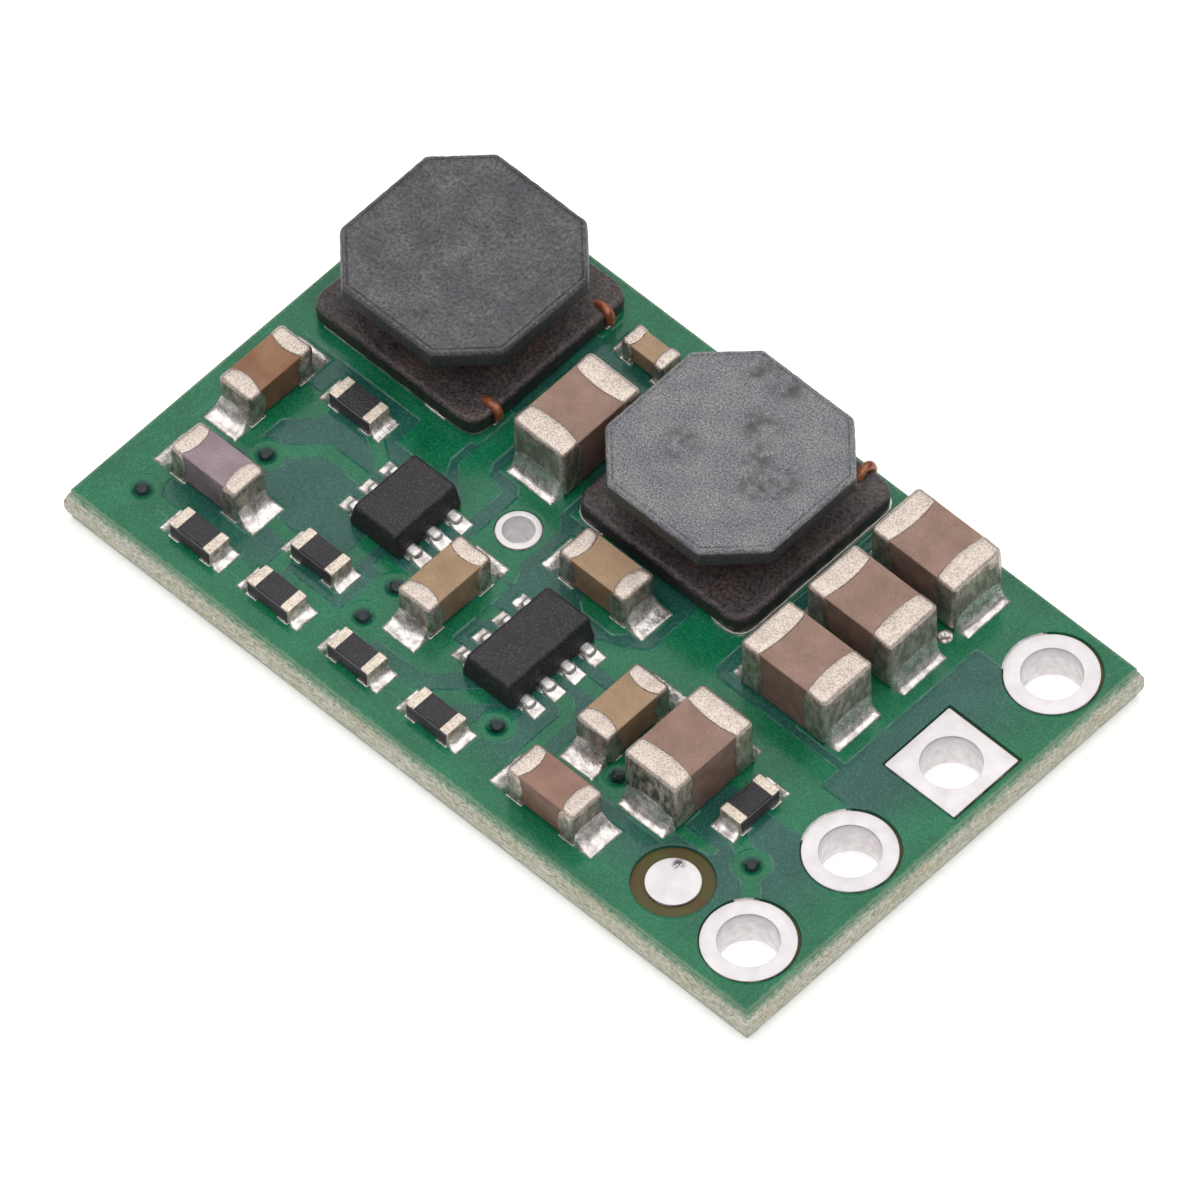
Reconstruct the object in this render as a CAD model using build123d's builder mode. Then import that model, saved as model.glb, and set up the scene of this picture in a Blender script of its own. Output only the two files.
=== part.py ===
from build123d import *
from collections import namedtuple
from math import atan2, cos, hypot, radians, sin, tan
import os

# A small voltage regulator module, in millimetres.
# The board lies in XY with its underside at Z = 0. Its middle is the origin, and the terminal holes are at +X.

# Small rounds are drawn with this many flat sides, which keeps the model light
ROUND_SIDES = 16
VIA_SIDES = 8

# Board: a slab broken out of a scored panel, so the middle of its edge stands proud.
# Every place below was measured on a layout of the layout's size, and is carried over to the board's size.
BOARD_LENGTH = 16.11
BOARD_WIDTH = 9.79
LAYOUT_LENGTH = 16.11
LAYOUT_WIDTH = 9.79
LAMINATE_THICKNESS = 0.70
WEB_PROUD = 0.09
WEB_HEIGHT = 0.22
COPPER_THICKNESS = 0.035
COPPER_INSET = 0.15
MASK_THICKNESS = 0.03
MASK_CREEP = 0.02
UNDER_MASK_THICKNESS = 0.035

# Terminal holes, in a row along the +X edge; one has a square pad
HOLE_COUNT = 4
HOLE_FROM_SIDE = 1.085
SQUARE_HOLE = 2
HOLE_FROM_EDGE = 0.985
HOLE_RADIUS = 0.545
RING_RADIUS = 0.85
PLATING = 0.035
SOLDER_COAT = 0.09
RING_CLEARANCE = 0.06
HOLE_X = BOARD_LENGTH / 2 - HOLE_FROM_EDGE
HOLE_PITCH = (BOARD_WIDTH - 2 * HOLE_FROM_SIDE) / (HOLE_COUNT - 1)
HOLES = [(HOLE_X, (n - (HOLE_COUNT - 1) / 2) * HOLE_PITCH) for n in range(HOLE_COUNT)]


def carried(x, y):
    """A place on the layout, carried over to the board's size."""
    return (x * BOARD_LENGTH / LAYOUT_LENGTH, y * BOARD_WIDTH / LAYOUT_WIDTH)


# Small plated hole, fiducial dot and vias
SMALL_HOLE = carried(-1.77, -0.235)
SMALL_HOLE_RADIUS = 0.285
SMALL_RING_RADIUS = 0.415
FIDUCIAL = carried(5.27, -3.78)
FIDUCIAL_RADIUS = 0.495
FIDUCIAL_OPENING = 0.745
FIDUCIAL_GAP = 0.07
FIDUCIAL_THICKNESS = 0.06
VIA_RING_RADIUS = 0.345
LONE_VIAS = [carried(*via) for via in ((-7.16, -4.04), (-6.10, -2.05), (0.82, -3.49), (6.03, -2.625))]

# Solder joints
SOLDER_GAP = 0.03
SOLDER_LIP = 0.035
SOLDER_CLIMB = 0.55
SOLDER_SAG = 0.25
PAD_HEEL = 0.05

# Chip cases: size of the part, length of its end caps, and its pads' reach past each end and past each side
Case = namedtuple("Case", "length width height band toe pad_side")
CASE_0402 = Case(1.0, 0.5, 0.5, 0.22, 0.23, 0.04)
CASE_0603 = Case(1.6, 0.8, 0.8, 0.32, 0.42, 0.01)
CASE_0805 = Case(2.0, 1.25, 1.25, 0.46, 0.265, -0.06)
RESISTOR_CASE = Case(1.0, 0.5, 0.32, 0.20, 0.23, 0.04)
CAP_PLATING = 0.03
CAP_EDGE = 0.045
RESISTOR_PLATING = 0.025
OVERCOAT_THICKNESS = 0.03
OVERCOAT_SIDE = 0.03

# Coils: place and turn of each; the wire ends leave over the local +X side.
# The drum sits a little off the middle of its base, towards -Y on both coils.
COILS = {
    "coil_1": (*carried(-5.60, 2.53), 0),
    "coil_2": (*carried(0.71, 2.56), 90),
}
COIL_WIDTH = 4.00
COIL_CORNER = 0.35
COIL_BASE_SHIFT = 0.10
COIL_BASE_THICKNESS = 0.39
COIL_HEIGHT = 1.76
FLANGE_WIDTH = 3.95
FLANGE_CUT = 0.90
FLANGE_THICKNESS = 0.42
FLANGE_CHAMFER = 0.10
COLUMN_RADIUS = 1.15
WINDING_RADIUS = 1.45
WINDING_TURNS = 4
WINDING_SIDES = 18
WINDING_GROOVE = 0.07
WIRE_RADIUS = 0.10
WIRE_SIDES = 6
WIRE_EXITS = [(-1.32, -0.72), (1.50, 0.80)]
TERMINAL_LENGTH = 0.90
TERMINAL_PROUD = 0.03
TERMINAL_THICKNESS = 0.06
TERMINAL_TAB = 0.40

# Gaps that the large capacitors beside coil 2 keep from its terminal and from the rings of the terminal holes.
# Where the room between those changes, both gaps change in the same proportion.
COIL_SIDE_GAP = 0.245
RING_SIDE_GAP = 0.705


def beside_coil(y, aside=0.0):
    """Place of a large capacitor in the room between coil 2 and the terminal holes."""
    start = COILS["coil_2"][0] + COIL_WIDTH / 2 + TERMINAL_PROUD
    end = HOLE_X - RING_RADIUS
    reach = CASE_0805.length / 2 + CASE_0805.toe
    spare = end - start - 2 * reach
    x = start + reach + spare * COIL_SIDE_GAP / (COIL_SIDE_GAP + RING_SIDE_GAP)
    return (x + aside, carried(0, y)[1])


# Capacitors: place and turn of each, and its case
CAPACITORS = {
    "capacitor_1": (*carried(-7.08, -1.01), 90, CASE_0603),
    "capacitor_2": (*carried(-6.26, -3.06), 0, CASE_0603),
    "capacitor_3": (*carried(-1.69, -2.15), 90, CASE_0603),
    "capacitor_4": (*carried(0.21, -0.10), 0, CASE_0603),
    "capacitor_5": (*carried(2.42, -2.02), 90, CASE_0603),
    "capacitor_6": (*carried(-2.27, 1.78), 90, CASE_0805),
    "capacitor_7": (*carried(3.99, -2.02), 90, CASE_0805),
    "capacitor_8": (*carried(2.72, -4.02), 0, CASE_0603),
    "capacitor_9": (*beside_coil(0.65), 0, CASE_0805),
    "capacitor_10": (*beside_coil(2.29, aside=0.01), 0, CASE_0805),
    "capacitor_11": (*beside_coil(3.92), 0, CASE_0805),
    "capacitor_12": (*carried(-2.55, 3.93), 0, CASE_0402),
}

# Resistors: place and turn of each
RESISTORS = {
    "resistor_1": (*carried(-5.56, -0.27), 0),
    "resistor_2": (*carried(-5.65, -4.16), 0),
    "resistor_3": (*carried(-3.81, -4.13), 0),
    "resistor_4": (*carried(-3.80, -3.05), 0),
    "resistor_5": (*carried(-1.885, -4.14), 0),
    "resistor_6": (*carried(-0.005, -4.13), 0),
    "resistor_7": (*carried(5.21, -1.80), 90),
}

# Moulded chips: place, length of the body and number of leads on each long side
CHIPS = {
    "chip_6_lead": (*carried(-3.43, -1.33), 1.60, 3),
    "chip_8_lead": (*carried(0.205, -2.05), 2.10, 4),
}
CHIP_WIDTH = 1.20
CHIP_HEIGHT = 0.60
CHIP_STANDOFF = 0.02
CHIP_TOP_WIDTH = 1.00
CHIP_END_DRAFT = 0.035
LEAD_PITCH = 0.50
LEAD_WIDTH = 0.22
LEAD_THICKNESS = 0.14
LEAD_REACH = 0.22
LEAD_PAD_TOE = 0.20
LEAD_PAD_SIDE = 0.04

# Heights that the sizes above lead to
LAMINATE_BOTTOM = UNDER_MASK_THICKNESS
LAMINATE_TOP = LAMINATE_BOTTOM + LAMINATE_THICKNESS
COPPER_TOP = LAMINATE_TOP + COPPER_THICKNESS
RING_TOP = COPPER_TOP + SOLDER_COAT
PART_SEAT = COPPER_TOP + SOLDER_GAP

# Filled copper areas, as outlines in X and Y
GROUND_AREA = [
    (-7.9, -4.75), (5.27, -4.75), (5.27, -4.36), (3.9, -4.36), (3.9, -4.50), (-7.62, -4.50), (-7.62, 0.33),
    (-4.62, 0.33), (-4.62, -0.30), (-3.50, -0.30), (-3.70, 0.05), (-3.70, 1.60), (-7.9, 1.60),
]
INPUT_AREA = [
    (-6.60, -0.45), (-5.93, -0.45), (-5.93, -0.79), (-6.45, -1.31), (-6.45, -2.26), (-7.52, -2.26),
    (-7.52, -1.40), (-6.80, -1.40),
]
SENSE_AREA = [
    (-3.09, -2.20), (-2.30, -2.20), (-2.30, -2.55), (-1.31, -2.55), (-1.31, -1.20), (-1.06, -1.20),
    (-1.06, -2.68), (-0.40, -2.68), (-0.37, -3.04), (-0.86, -3.55), (-1.97, -3.55), (-1.97, -4.45),
    (-4.03, -4.45), (-4.03, -3.57), (-2.86, -3.57), (-2.86, -2.47), (-3.09, -2.47),
]
SWITCH_AREA = [
    (-3.49, 3.09), (-3.49, 0.10), (-2.94, -0.47), (-2.94, -0.75), (-2.56, -0.75), (-2.56, 0.14),
    (-3.00, 0.30), (-3.10, 0.50), (-3.10, 2.23), (-1.66, 2.23), (-1.66, 3.09),
]
MIDDLE_AREA = [
    (-2.88, 0.47), (-2.40, 0.47), (-2.24, 0.27), (-2.24, -1.10), (-1.06, -1.10), (-1.26, -0.70),
    (-1.26, 0.25), (-1.50, 0.50), (-1.50, 1.33), (-2.88, 1.33),
]
BRIDGE_AREA = [(0.06, -0.45), (0.06, -0.58), (0.25, -0.72), (0.94, -0.72), (1.20, -0.45)]
OUTPUT_AREA = [
    (1.66, 4.45), (1.66, -0.55), (1.36, -0.76), (0.82, -1.00), (0.82, -1.38), (1.95, -1.38), (1.95, -1.62),
    (6.50, -1.62), (6.50, -0.62), (5.74, -0.62), (5.74, -0.17), (2.89, -0.17), (2.70, 0.02), (2.70, 4.45),
]
RETURN_AREA = [(1.98, -2.42), (4.59, -2.42), (4.59, -3.31), (1.98, -3.31)]
POWER_AREA = [(4.60, 0.03), (5.73, 0.03), (5.73, 3.35), (6.60, 3.35), (6.60, 4.36), (5.73, 4.52), (4.60, 4.52)]
COPPER_AREAS = [
    GROUND_AREA, INPUT_AREA, SENSE_AREA, SWITCH_AREA, MIDDLE_AREA,
    BRIDGE_AREA, OUTPUT_AREA, RETURN_AREA, POWER_AREA,
]

# Tracks: width, then the points that the track runs through
TRACKS = [
    (0.25, [(-5.05, -0.42), (-4.42, -0.88)]),
    (0.25, [(-4.45, -1.26), (-5.38, -1.26), (-6.10, -1.96)]),
    (0.23, [(-5.20, -3.02), (-4.35, -3.02)]),
    (0.25, [(-4.32, -3.20), (-4.32, -3.95)]),
    (0.25, [(-5.10, -4.12), (-4.35, -4.12)]),
    (0.22, [(-7.16, -4.04), (-6.20, -4.04)]),
    (0.40, [(-7.17, -3.30), (-7.17, -4.04)]),
    (0.26, [(-3.47, -1.70), (-3.47, -2.95)]),
    (0.22, [(-1.35, -4.09), (-0.50, -4.09)]),
    (0.30, [(-0.60, -4.00), (0.28, -3.14)]),
    (0.20, [(-0.70, -1.80), (-0.94, -1.80), (-0.94, -2.05)]),
    (0.25, [(1.05, -1.80), (2.42, -1.80), (2.42, -2.70)]),
    (0.22, [(1.05, -2.30), (1.33, -2.30), (1.58, -2.55), (1.58, -3.80)]),
    (0.28, [(0.82, -3.49), (0.48, -3.95)]),
    (0.20, [(4.40, -2.905), (5.38, -2.905)]),
    (0.30, [(5.25, -2.25), (6.03, -2.625), (6.62, -3.30)]),
]


def seat(x, y, height, turn=0):
    """Level plane at a height, with its X axis turned to lie along the part that sits there."""
    return Plane(origin=(x, y, height), x_dir=(cos(radians(turn)), sin(radians(turn)), 0), z_dir=(0, 0, 1))


def upright(x, y, height, turn):
    """Standing plane through the middle of a part, with X pointing out along the turn and Y up."""
    return Plane(
        origin=(x, y, height),
        x_dir=(cos(radians(turn)), sin(radians(turn)), 0),
        z_dir=(sin(radians(turn)), -cos(radians(turn)), 0),
    )


def spot(x, y, turn, along, across):
    """Point on the board that lies so far along and across a part from its middle."""
    a = radians(turn)
    return (x + along * cos(a) - across * sin(a), y + along * sin(a) + across * cos(a))


def corner(before, here, after, distance):
    """Point beside a corner of a line, at a distance to the right of both of its legs."""
    first = atan2(here[1] - before[1], here[0] - before[0])
    second = atan2(after[1] - here[1], after[0] - here[0])
    turn = atan2(sin(second - first), cos(second - first))
    along = -distance * tan(turn / 2)
    return (
        here[0] + distance * sin(first) - along * cos(first),
        here[1] - distance * cos(first) - along * sin(first),
    )


def grown(outline, distance):
    """Closed outline, drawn counter-clockwise, moved outwards by a distance."""
    count = len(outline)
    return [corner(outline[n - 1], outline[n], outline[(n + 1) % count], distance) for n in range(count)]


def counter_clockwise(outline):
    """The same outline, turned round where it was drawn clockwise."""
    pairs = zip(outline, outline[1:] + outline[:1])
    area = sum(a[0] * b[1] - b[0] * a[1] for a, b in pairs)
    return outline if area > 0 else outline[::-1]


def track_outline(points, width):
    """Outline of a track: its right side on the way out and its other side on the way back."""
    there_and_back = points + points[-2:0:-1]
    count = len(there_and_back)
    outline = []
    for n, here in enumerate(there_and_back):
        before = there_and_back[n - 1]
        after = there_and_back[(n + 1) % count]
        if before == after:
            reach = hypot(here[0] - before[0], here[1] - before[1])
            across = (
                (here[1] - before[1]) / reach * width / 2,
                -(here[0] - before[0]) / reach * width / 2,
            )
            outline += [(here[0] + across[0], here[1] + across[1]), (here[0] - across[0], here[1] - across[1])]
        else:
            outline.append(corner(before, here, after, width / 2))
    return outline


def copper_outlines():
    """Every filled area and track, as counter-clockwise outlines."""
    outlines = [[carried(*point) for point in area] for area in COPPER_AREAS]
    for width, points in TRACKS:
        outlines.append(track_outline([carried(*point) for point in points], width))
    return [counter_clockwise(outline) for outline in outlines]


def case_pads(x, y, turn, case):
    """The two pads of a chip part: middle, size along and across, and turn."""
    inner = case.length / 2 - case.band - PAD_HEEL
    outer = case.length / 2 + case.toe
    middle = (inner + outer) / 2
    width = case.width + 2 * case.pad_side
    return [(spot(x, y, turn, side * middle, 0), outer - inner, width, turn) for side in (-1, 1)]


def lead_rows(x, y, count):
    """Middles of a moulded chip's leads: side of the body and place along it."""
    return [(side, y + (n - (count - 1) / 2) * LEAD_PITCH) for side in (-1, 1) for n in range(count)]


def lead_pads(x, y, count):
    """The pads under a moulded chip's leads."""
    length = LEAD_REACH + LEAD_PAD_TOE
    width = LEAD_WIDTH + 2 * LEAD_PAD_SIDE
    middle = CHIP_WIDTH / 2 + length / 2
    return [((x + side * middle, row), length, width, 0) for side, row in lead_rows(x, y, count)]


def coil_pads(x, y, turn):
    """The two pads under a coil's base, along its local Y."""
    length = COIL_WIDTH + 2 * TERMINAL_PROUD
    middle = (length - TERMINAL_LENGTH) / 2
    base_y = y + COIL_BASE_SHIFT
    return [(spot(x, base_y, turn, 0, side * middle), length, TERMINAL_LENGTH, turn) for side in (-1, 1)]


def coil_side(turn):
    """How far a coil's base reaches from the middle of the drum, on the side where the wire ends leave."""
    return COIL_WIDTH / 2 + COIL_BASE_SHIFT * sin(radians(turn))


def all_pads():
    """Every pad that a part is soldered to."""
    pads = []
    for x, y, turn, case in CAPACITORS.values():
        pads += case_pads(x, y, turn, case)
    for x, y, turn in RESISTORS.values():
        pads += case_pads(x, y, turn, RESISTOR_CASE)
    for x, y, length, count in CHIPS.values():
        pads += lead_pads(x, y, count)
    for x, y, turn in COILS.values():
        pads += coil_pads(x, y, turn)
    return pads


def draw_pads(mode):
    """Adds the pads to the sketch that is being drawn, or takes them away."""
    for middle, length, width, turn in all_pads():
        with Locations(middle):
            Rectangle(length, width, rotation=turn, mode=mode)


def draw_rings(clearance, mode):
    """Adds the rings round the plated holes, grown by a clearance, or takes them away."""
    side = 2 * (RING_RADIUS + clearance)
    for n, hole in enumerate(HOLES):
        with Locations(hole):
            if n == SQUARE_HOLE:
                Rectangle(side, side, mode=mode)
            else:
                RegularPolygon(side / 2, ROUND_SIDES, mode=mode)
    with Locations(SMALL_HOLE):
        RegularPolygon(SMALL_RING_RADIUS + clearance, ROUND_SIDES, mode=mode)


def draw_copper(growth):
    """Draws the filled areas, tracks and lone via rings, each grown by a distance."""
    for outline in copper_outlines():
        with BuildLine() as edge:
            Polyline(grown(outline, growth), close=True)
        make_face(edge.edges())
    with Locations(LONE_VIAS):
        RegularPolygon(VIA_RING_RADIUS + growth, VIA_SIDES)
    inset = 2 * (COPPER_INSET - growth)
    Rectangle(BOARD_LENGTH - inset, BOARD_WIDTH - inset, mode=Mode.INTERSECT)
    with Locations(FIDUCIAL):
        RegularPolygon(FIDUCIAL_OPENING + FIDUCIAL_GAP - growth, ROUND_SIDES, mode=Mode.SUBTRACT)


def save(node, name):
    """Labels a finished piece and writes it."""
    node.part.label = name
    export_step(node.part, f"parts/{name}.step")


def make_laminate():
    """The bare board: scored edges slope out to the web that was broken, and the plated holes go through."""
    score = (LAMINATE_THICKNESS - WEB_HEIGHT) / 2
    levels = [
        (LAMINATE_BOTTOM, 0),
        (LAMINATE_BOTTOM + score, WEB_PROUD),
        (LAMINATE_TOP - score, WEB_PROUD),
        (LAMINATE_TOP, 0),
    ]
    with BuildPart() as laminate:
        for height, proud in levels:
            with BuildSketch(Plane.XY.offset(height)):
                Rectangle(BOARD_LENGTH + 2 * proud, BOARD_WIDTH + 2 * proud)
        loft(ruled=True)
        with BuildSketch(Plane.XY.offset(LAMINATE_BOTTOM)):
            with Locations(HOLES):
                RegularPolygon(HOLE_RADIUS + PLATING, ROUND_SIDES)
            with Locations(SMALL_HOLE):
                RegularPolygon(SMALL_HOLE_RADIUS + PLATING, ROUND_SIDES)
        extrude(amount=LAMINATE_THICKNESS, mode=Mode.SUBTRACT)
    save(laminate, "circuit_board")


def make_copper():
    """Copper on the top of the board: areas, tracks, via rings and pads."""
    with BuildPart() as copper:
        with BuildSketch(Plane.XY.offset(LAMINATE_TOP)):
            draw_copper(0)
            draw_pads(Mode.ADD)
            draw_rings(0, Mode.SUBTRACT)
        extrude(amount=COPPER_THICKNESS)
    save(copper, "copper_tracks")


def make_top_mask():
    """Mask on the top: it fills between the copper and steps up over it, and it is open at pads and rings."""
    with BuildPart() as mask:
        with BuildSketch(Plane.XY.offset(LAMINATE_TOP)) as copper:
            draw_copper(0)
            draw_pads(Mode.ADD)
        with BuildSketch(Plane.XY.offset(LAMINATE_TOP)) as between:
            Rectangle(BOARD_LENGTH, BOARD_WIDTH)
            add(copper.sketch, mode=Mode.SUBTRACT)
            draw_rings(RING_CLEARANCE, Mode.SUBTRACT)
            with Locations(FIDUCIAL):
                RegularPolygon(FIDUCIAL_OPENING, ROUND_SIDES, mode=Mode.SUBTRACT)
        extrude(between.sketch, amount=COPPER_THICKNESS, mode=Mode.REPLACE)
        with BuildSketch(Plane.XY.offset(COPPER_TOP)) as over:
            draw_copper(MASK_CREEP)
            draw_pads(Mode.SUBTRACT)
            draw_rings(RING_CLEARANCE, Mode.SUBTRACT)
        extrude(over.sketch, amount=MASK_THICKNESS)
    save(mask, "solder_mask_top")


def make_under_mask():
    """Mask on the underside, cut back from the rings of the plated holes."""
    with BuildPart() as mask:
        with BuildSketch():
            Rectangle(BOARD_LENGTH, BOARD_WIDTH)
            draw_rings(RING_CLEARANCE, Mode.SUBTRACT)
        extrude(amount=UNDER_MASK_THICKNESS)
    save(mask, "solder_mask_bottom")


def make_plated_hole(name, place, bore, ring, square=False, round_bore=True):
    """Plated hole: a barrel through the board with a ring or a square pad at each end."""
    with BuildPart() as hole:
        with BuildSketch(Plane(origin=(*place, 0))):
            RegularPolygon(bore + PLATING, ROUND_SIDES)
        extrude(amount=RING_TOP)
        for height, thickness in ((0, UNDER_MASK_THICKNESS), (LAMINATE_TOP, RING_TOP - LAMINATE_TOP)):
            with BuildSketch(Plane(origin=(*place, height))):
                if square:
                    Rectangle(2 * ring, 2 * ring)
                else:
                    RegularPolygon(ring, ROUND_SIDES)
            extrude(amount=thickness)
        with BuildSketch(Plane(origin=(*place, 0))):
            if round_bore:
                Circle(bore)
            else:
                RegularPolygon(bore, ROUND_SIDES)
        extrude(amount=RING_TOP, mode=Mode.SUBTRACT)
    save(hole, name)


def make_fiducial():
    """Round dot that the placing machine looks for."""
    with BuildPart() as fiducial:
        with BuildSketch(Plane(origin=(*FIDUCIAL, LAMINATE_TOP))):
            RegularPolygon(FIDUCIAL_RADIUS, ROUND_SIDES)
        extrude(amount=FIDUCIAL_THICKNESS)
    save(fiducial, "fiducial_dot")


def make_capacitor(name, x, y, turn, case):
    """Chip capacitor: a ceramic block in two metal end caps with soft edges."""
    place = seat(x, y, PART_SEAT, turn)
    inner_length = case.length - 2 * CAP_PLATING
    inner_width = case.width - 2 * CAP_PLATING
    inner_height = case.height - 2 * CAP_PLATING
    with BuildPart() as body:
        with BuildSketch(place.offset(CAP_PLATING)):
            Rectangle(inner_length, inner_width)
        extrude(amount=inner_height)
    save(body, name + "_body")
    with BuildPart() as caps:
        with BuildSketch(place):
            Rectangle(case.length, case.width)
        extrude(amount=case.height)
        ends = caps.edges().filter_by(lambda edge: abs(edge.tangent_at(0).dot(place.x_dir)) < 0.5)
        chamfer(ends, CAP_EDGE)
        with BuildSketch(place):
            Rectangle(case.length - 2 * case.band, 2 * case.width)
        extrude(amount=case.height, mode=Mode.SUBTRACT)
        with BuildSketch(place.offset(CAP_PLATING)):
            Rectangle(inner_length, inner_width)
        extrude(amount=inner_height, mode=Mode.SUBTRACT)
    save(caps, name + "_end_caps")


def make_resistor_body(name, x, y, turn):
    """White ceramic slab of a chip resistor."""
    case = RESISTOR_CASE
    with BuildPart() as body:
        with BuildSketch(seat(x, y, PART_SEAT + RESISTOR_PLATING, turn)):
            Rectangle(case.length - 2 * RESISTOR_PLATING, case.width)
        extrude(amount=case.height - 2 * RESISTOR_PLATING)
    save(body, name + "_body")


def make_overcoats():
    """Black coat on the top of each resistor, between its end caps."""
    case = RESISTOR_CASE
    top = PART_SEAT + case.height - RESISTOR_PLATING
    with BuildPart() as coats:
        for x, y, turn in RESISTORS.values():
            with BuildSketch(seat(x, y, top, turn)):
                Rectangle(case.length - 2 * case.band, case.width - 2 * OVERCOAT_SIDE)
            extrude(amount=OVERCOAT_THICKNESS)
    save(coats, "resistor_overcoats")


def make_resistor_caps():
    """Metal end caps of the resistors, folded round the ends of the slabs."""
    case = RESISTOR_CASE
    end = case.length / 2
    start = end - case.band
    wall = RESISTOR_PLATING
    profile = [
        (start, 0), (end, 0), (end, case.height), (start, case.height),
        (start, case.height - wall), (end - wall, case.height - wall), (end - wall, wall), (start, wall),
    ]
    with BuildPart() as caps:
        for x, y, turn in RESISTORS.values():
            for way in (turn, turn + 180):
                with BuildSketch(upright(x, y, PART_SEAT, way)):
                    with BuildLine():
                        Polyline(profile, close=True)
                    make_face()
                extrude(amount=case.width / 2, both=True)
    save(caps, "resistor_end_caps")


def make_chip(name, x, y, length, count):
    """Moulded chip with flat leads: its sides slope in towards the top."""
    foot = PART_SEAT + CHIP_STANDOFF
    shoulder = PART_SEAT + LEAD_THICKNESS
    top = PART_SEAT + CHIP_HEIGHT
    levels = [
        (foot, CHIP_WIDTH, length),
        (shoulder, CHIP_WIDTH, length),
        (top, CHIP_TOP_WIDTH, length - 2 * CHIP_END_DRAFT),
    ]
    with BuildPart() as body:
        for height, across, along in levels:
            with BuildSketch(seat(x, y, height)):
                Rectangle(across, along)
        loft(ruled=True)
    save(body, name + "_body")
    with BuildPart() as leads:
        for side, row in lead_rows(x, y, count):
            with BuildSketch(seat(x + side * (CHIP_WIDTH + LEAD_REACH) / 2, row, PART_SEAT)):
                Rectangle(LEAD_REACH, LEAD_WIDTH)
            extrude(amount=LEAD_THICKNESS)
    save(leads, name + "_leads")


def make_coil_core(name, x, y, turn):
    """Ferrite drum: a square base, a round column and an eight-sided top flange."""
    foot = PART_SEAT + TERMINAL_THICKNESS
    top = PART_SEAT + TERMINAL_THICKNESS + COIL_HEIGHT
    with BuildPart() as core:
        with BuildSketch(seat(x, y + COIL_BASE_SHIFT, foot)):
            RectangleRounded(COIL_WIDTH, COIL_WIDTH, COIL_CORNER)
        extrude(amount=COIL_BASE_THICKNESS)
        with BuildSketch(seat(x, y, foot, turn)):
            RegularPolygon(COLUMN_RADIUS, WINDING_SIDES)
        extrude(amount=COIL_HEIGHT)
        with BuildSketch(seat(x, y, top - FLANGE_THICKNESS, turn)) as flange:
            Rectangle(FLANGE_WIDTH, FLANGE_WIDTH)
            chamfer(flange.vertices(), FLANGE_CUT)
        extrude(amount=FLANGE_THICKNESS)
        chamfer(core.faces().sort_by(Axis.Z)[-1].edges(), FLANGE_CHAMFER)
    save(core, name + "_core")


def make_coil_winding(name, x, y, turn):
    """Copper winding between the flanges, grooved between its turns, with its two ends bent down the side."""
    low = PART_SEAT + TERMINAL_THICKNESS + COIL_BASE_THICKNESS
    height = COIL_HEIGHT - COIL_BASE_THICKNESS - FLANGE_THICKNESS
    step = height / WINDING_TURNS
    valley = WINDING_RADIUS - WINDING_GROOVE
    wire_level = low + WIRE_RADIUS
    outside = coil_side(turn) + WIRE_RADIUS
    with BuildPart() as winding:
        for n in range(2 * WINDING_TURNS + 1):
            with BuildSketch(seat(x, y, low + n * step / 2, turn)):
                RegularPolygon(WINDING_RADIUS if n % 2 else valley, WINDING_SIDES)
        loft(ruled=True)
        with BuildSketch(seat(x, y, low, turn)):
            RegularPolygon(COLUMN_RADIUS, WINDING_SIDES)
        extrude(amount=height, mode=Mode.SUBTRACT)
        for across, start in WIRE_EXITS:
            inside = (valley**2 - start**2) ** 0.5
            points = [
                (*spot(x, y, turn, inside, start), wire_level),
                (*spot(x, y, turn, outside, across), wire_level),
                (*spot(x, y, turn, outside, across), PART_SEAT + TERMINAL_THICKNESS),
            ]
            with BuildLine() as path:
                Polyline(points)
            with BuildSketch(Plane(origin=path.line @ 0, z_dir=path.line % 0)):
                RegularPolygon(WIRE_RADIUS, WIRE_SIDES)
            sweep(transition=Transition.RIGHT)
    save(winding, name + "_winding")


def make_coil_terminals(name, x, y, turn):
    """Metal strips under the two ends of a coil's base, each with a tab under its wire end."""
    with BuildPart() as terminals:
        with BuildSketch(seat(x, y, PART_SEAT)):
            for middle, length, width, way in coil_pads(x, y, turn):
                with Locations((middle[0] - x, middle[1] - y)):
                    Rectangle(length, width, rotation=way)
            for across, start in WIRE_EXITS:
                tab = spot(0, 0, turn, coil_side(turn) + 2 * WIRE_RADIUS - TERMINAL_TAB / 2, across)
                with Locations(tab):
                    Rectangle(TERMINAL_TAB, 2 * WIRE_RADIUS, rotation=turn)
        extrude(amount=TERMINAL_THICKNESS)
    save(terminals, name + "_terminals")


def joint_profile(inner, end, outer, climb):
    """Side view of a solder joint: a thin bed under the part and a hollow slope up its end."""
    return [
        (inner, 0), (outer, 0), (outer, SOLDER_LIP),
        ((end + outer) / 2, SOLDER_LIP + climb * SOLDER_SAG),
        (end, SOLDER_GAP + climb), (end, SOLDER_GAP), (inner, SOLDER_GAP),
    ]


def solder_case(x, y, turn, case):
    """Solder joints at the two ends of a chip part."""
    end = case.length / 2
    profile = joint_profile(end - case.band - PAD_HEEL, end, end + case.toe, case.height * SOLDER_CLIMB)
    for way in (turn, turn + 180):
        with BuildSketch(upright(x, y, COPPER_TOP, way)) as side_view:
            with BuildLine():
                Polyline(profile, close=True)
            make_face()
        extrude(side_view.sketch, amount=case.width / 2 + case.pad_side, both=True)


def make_capacitor_solder():
    """Solder at the capacitors."""
    with BuildPart() as solder:
        for x, y, turn, case in CAPACITORS.values():
            solder_case(x, y, turn, case)
    save(solder, "solder_at_capacitors")


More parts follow.
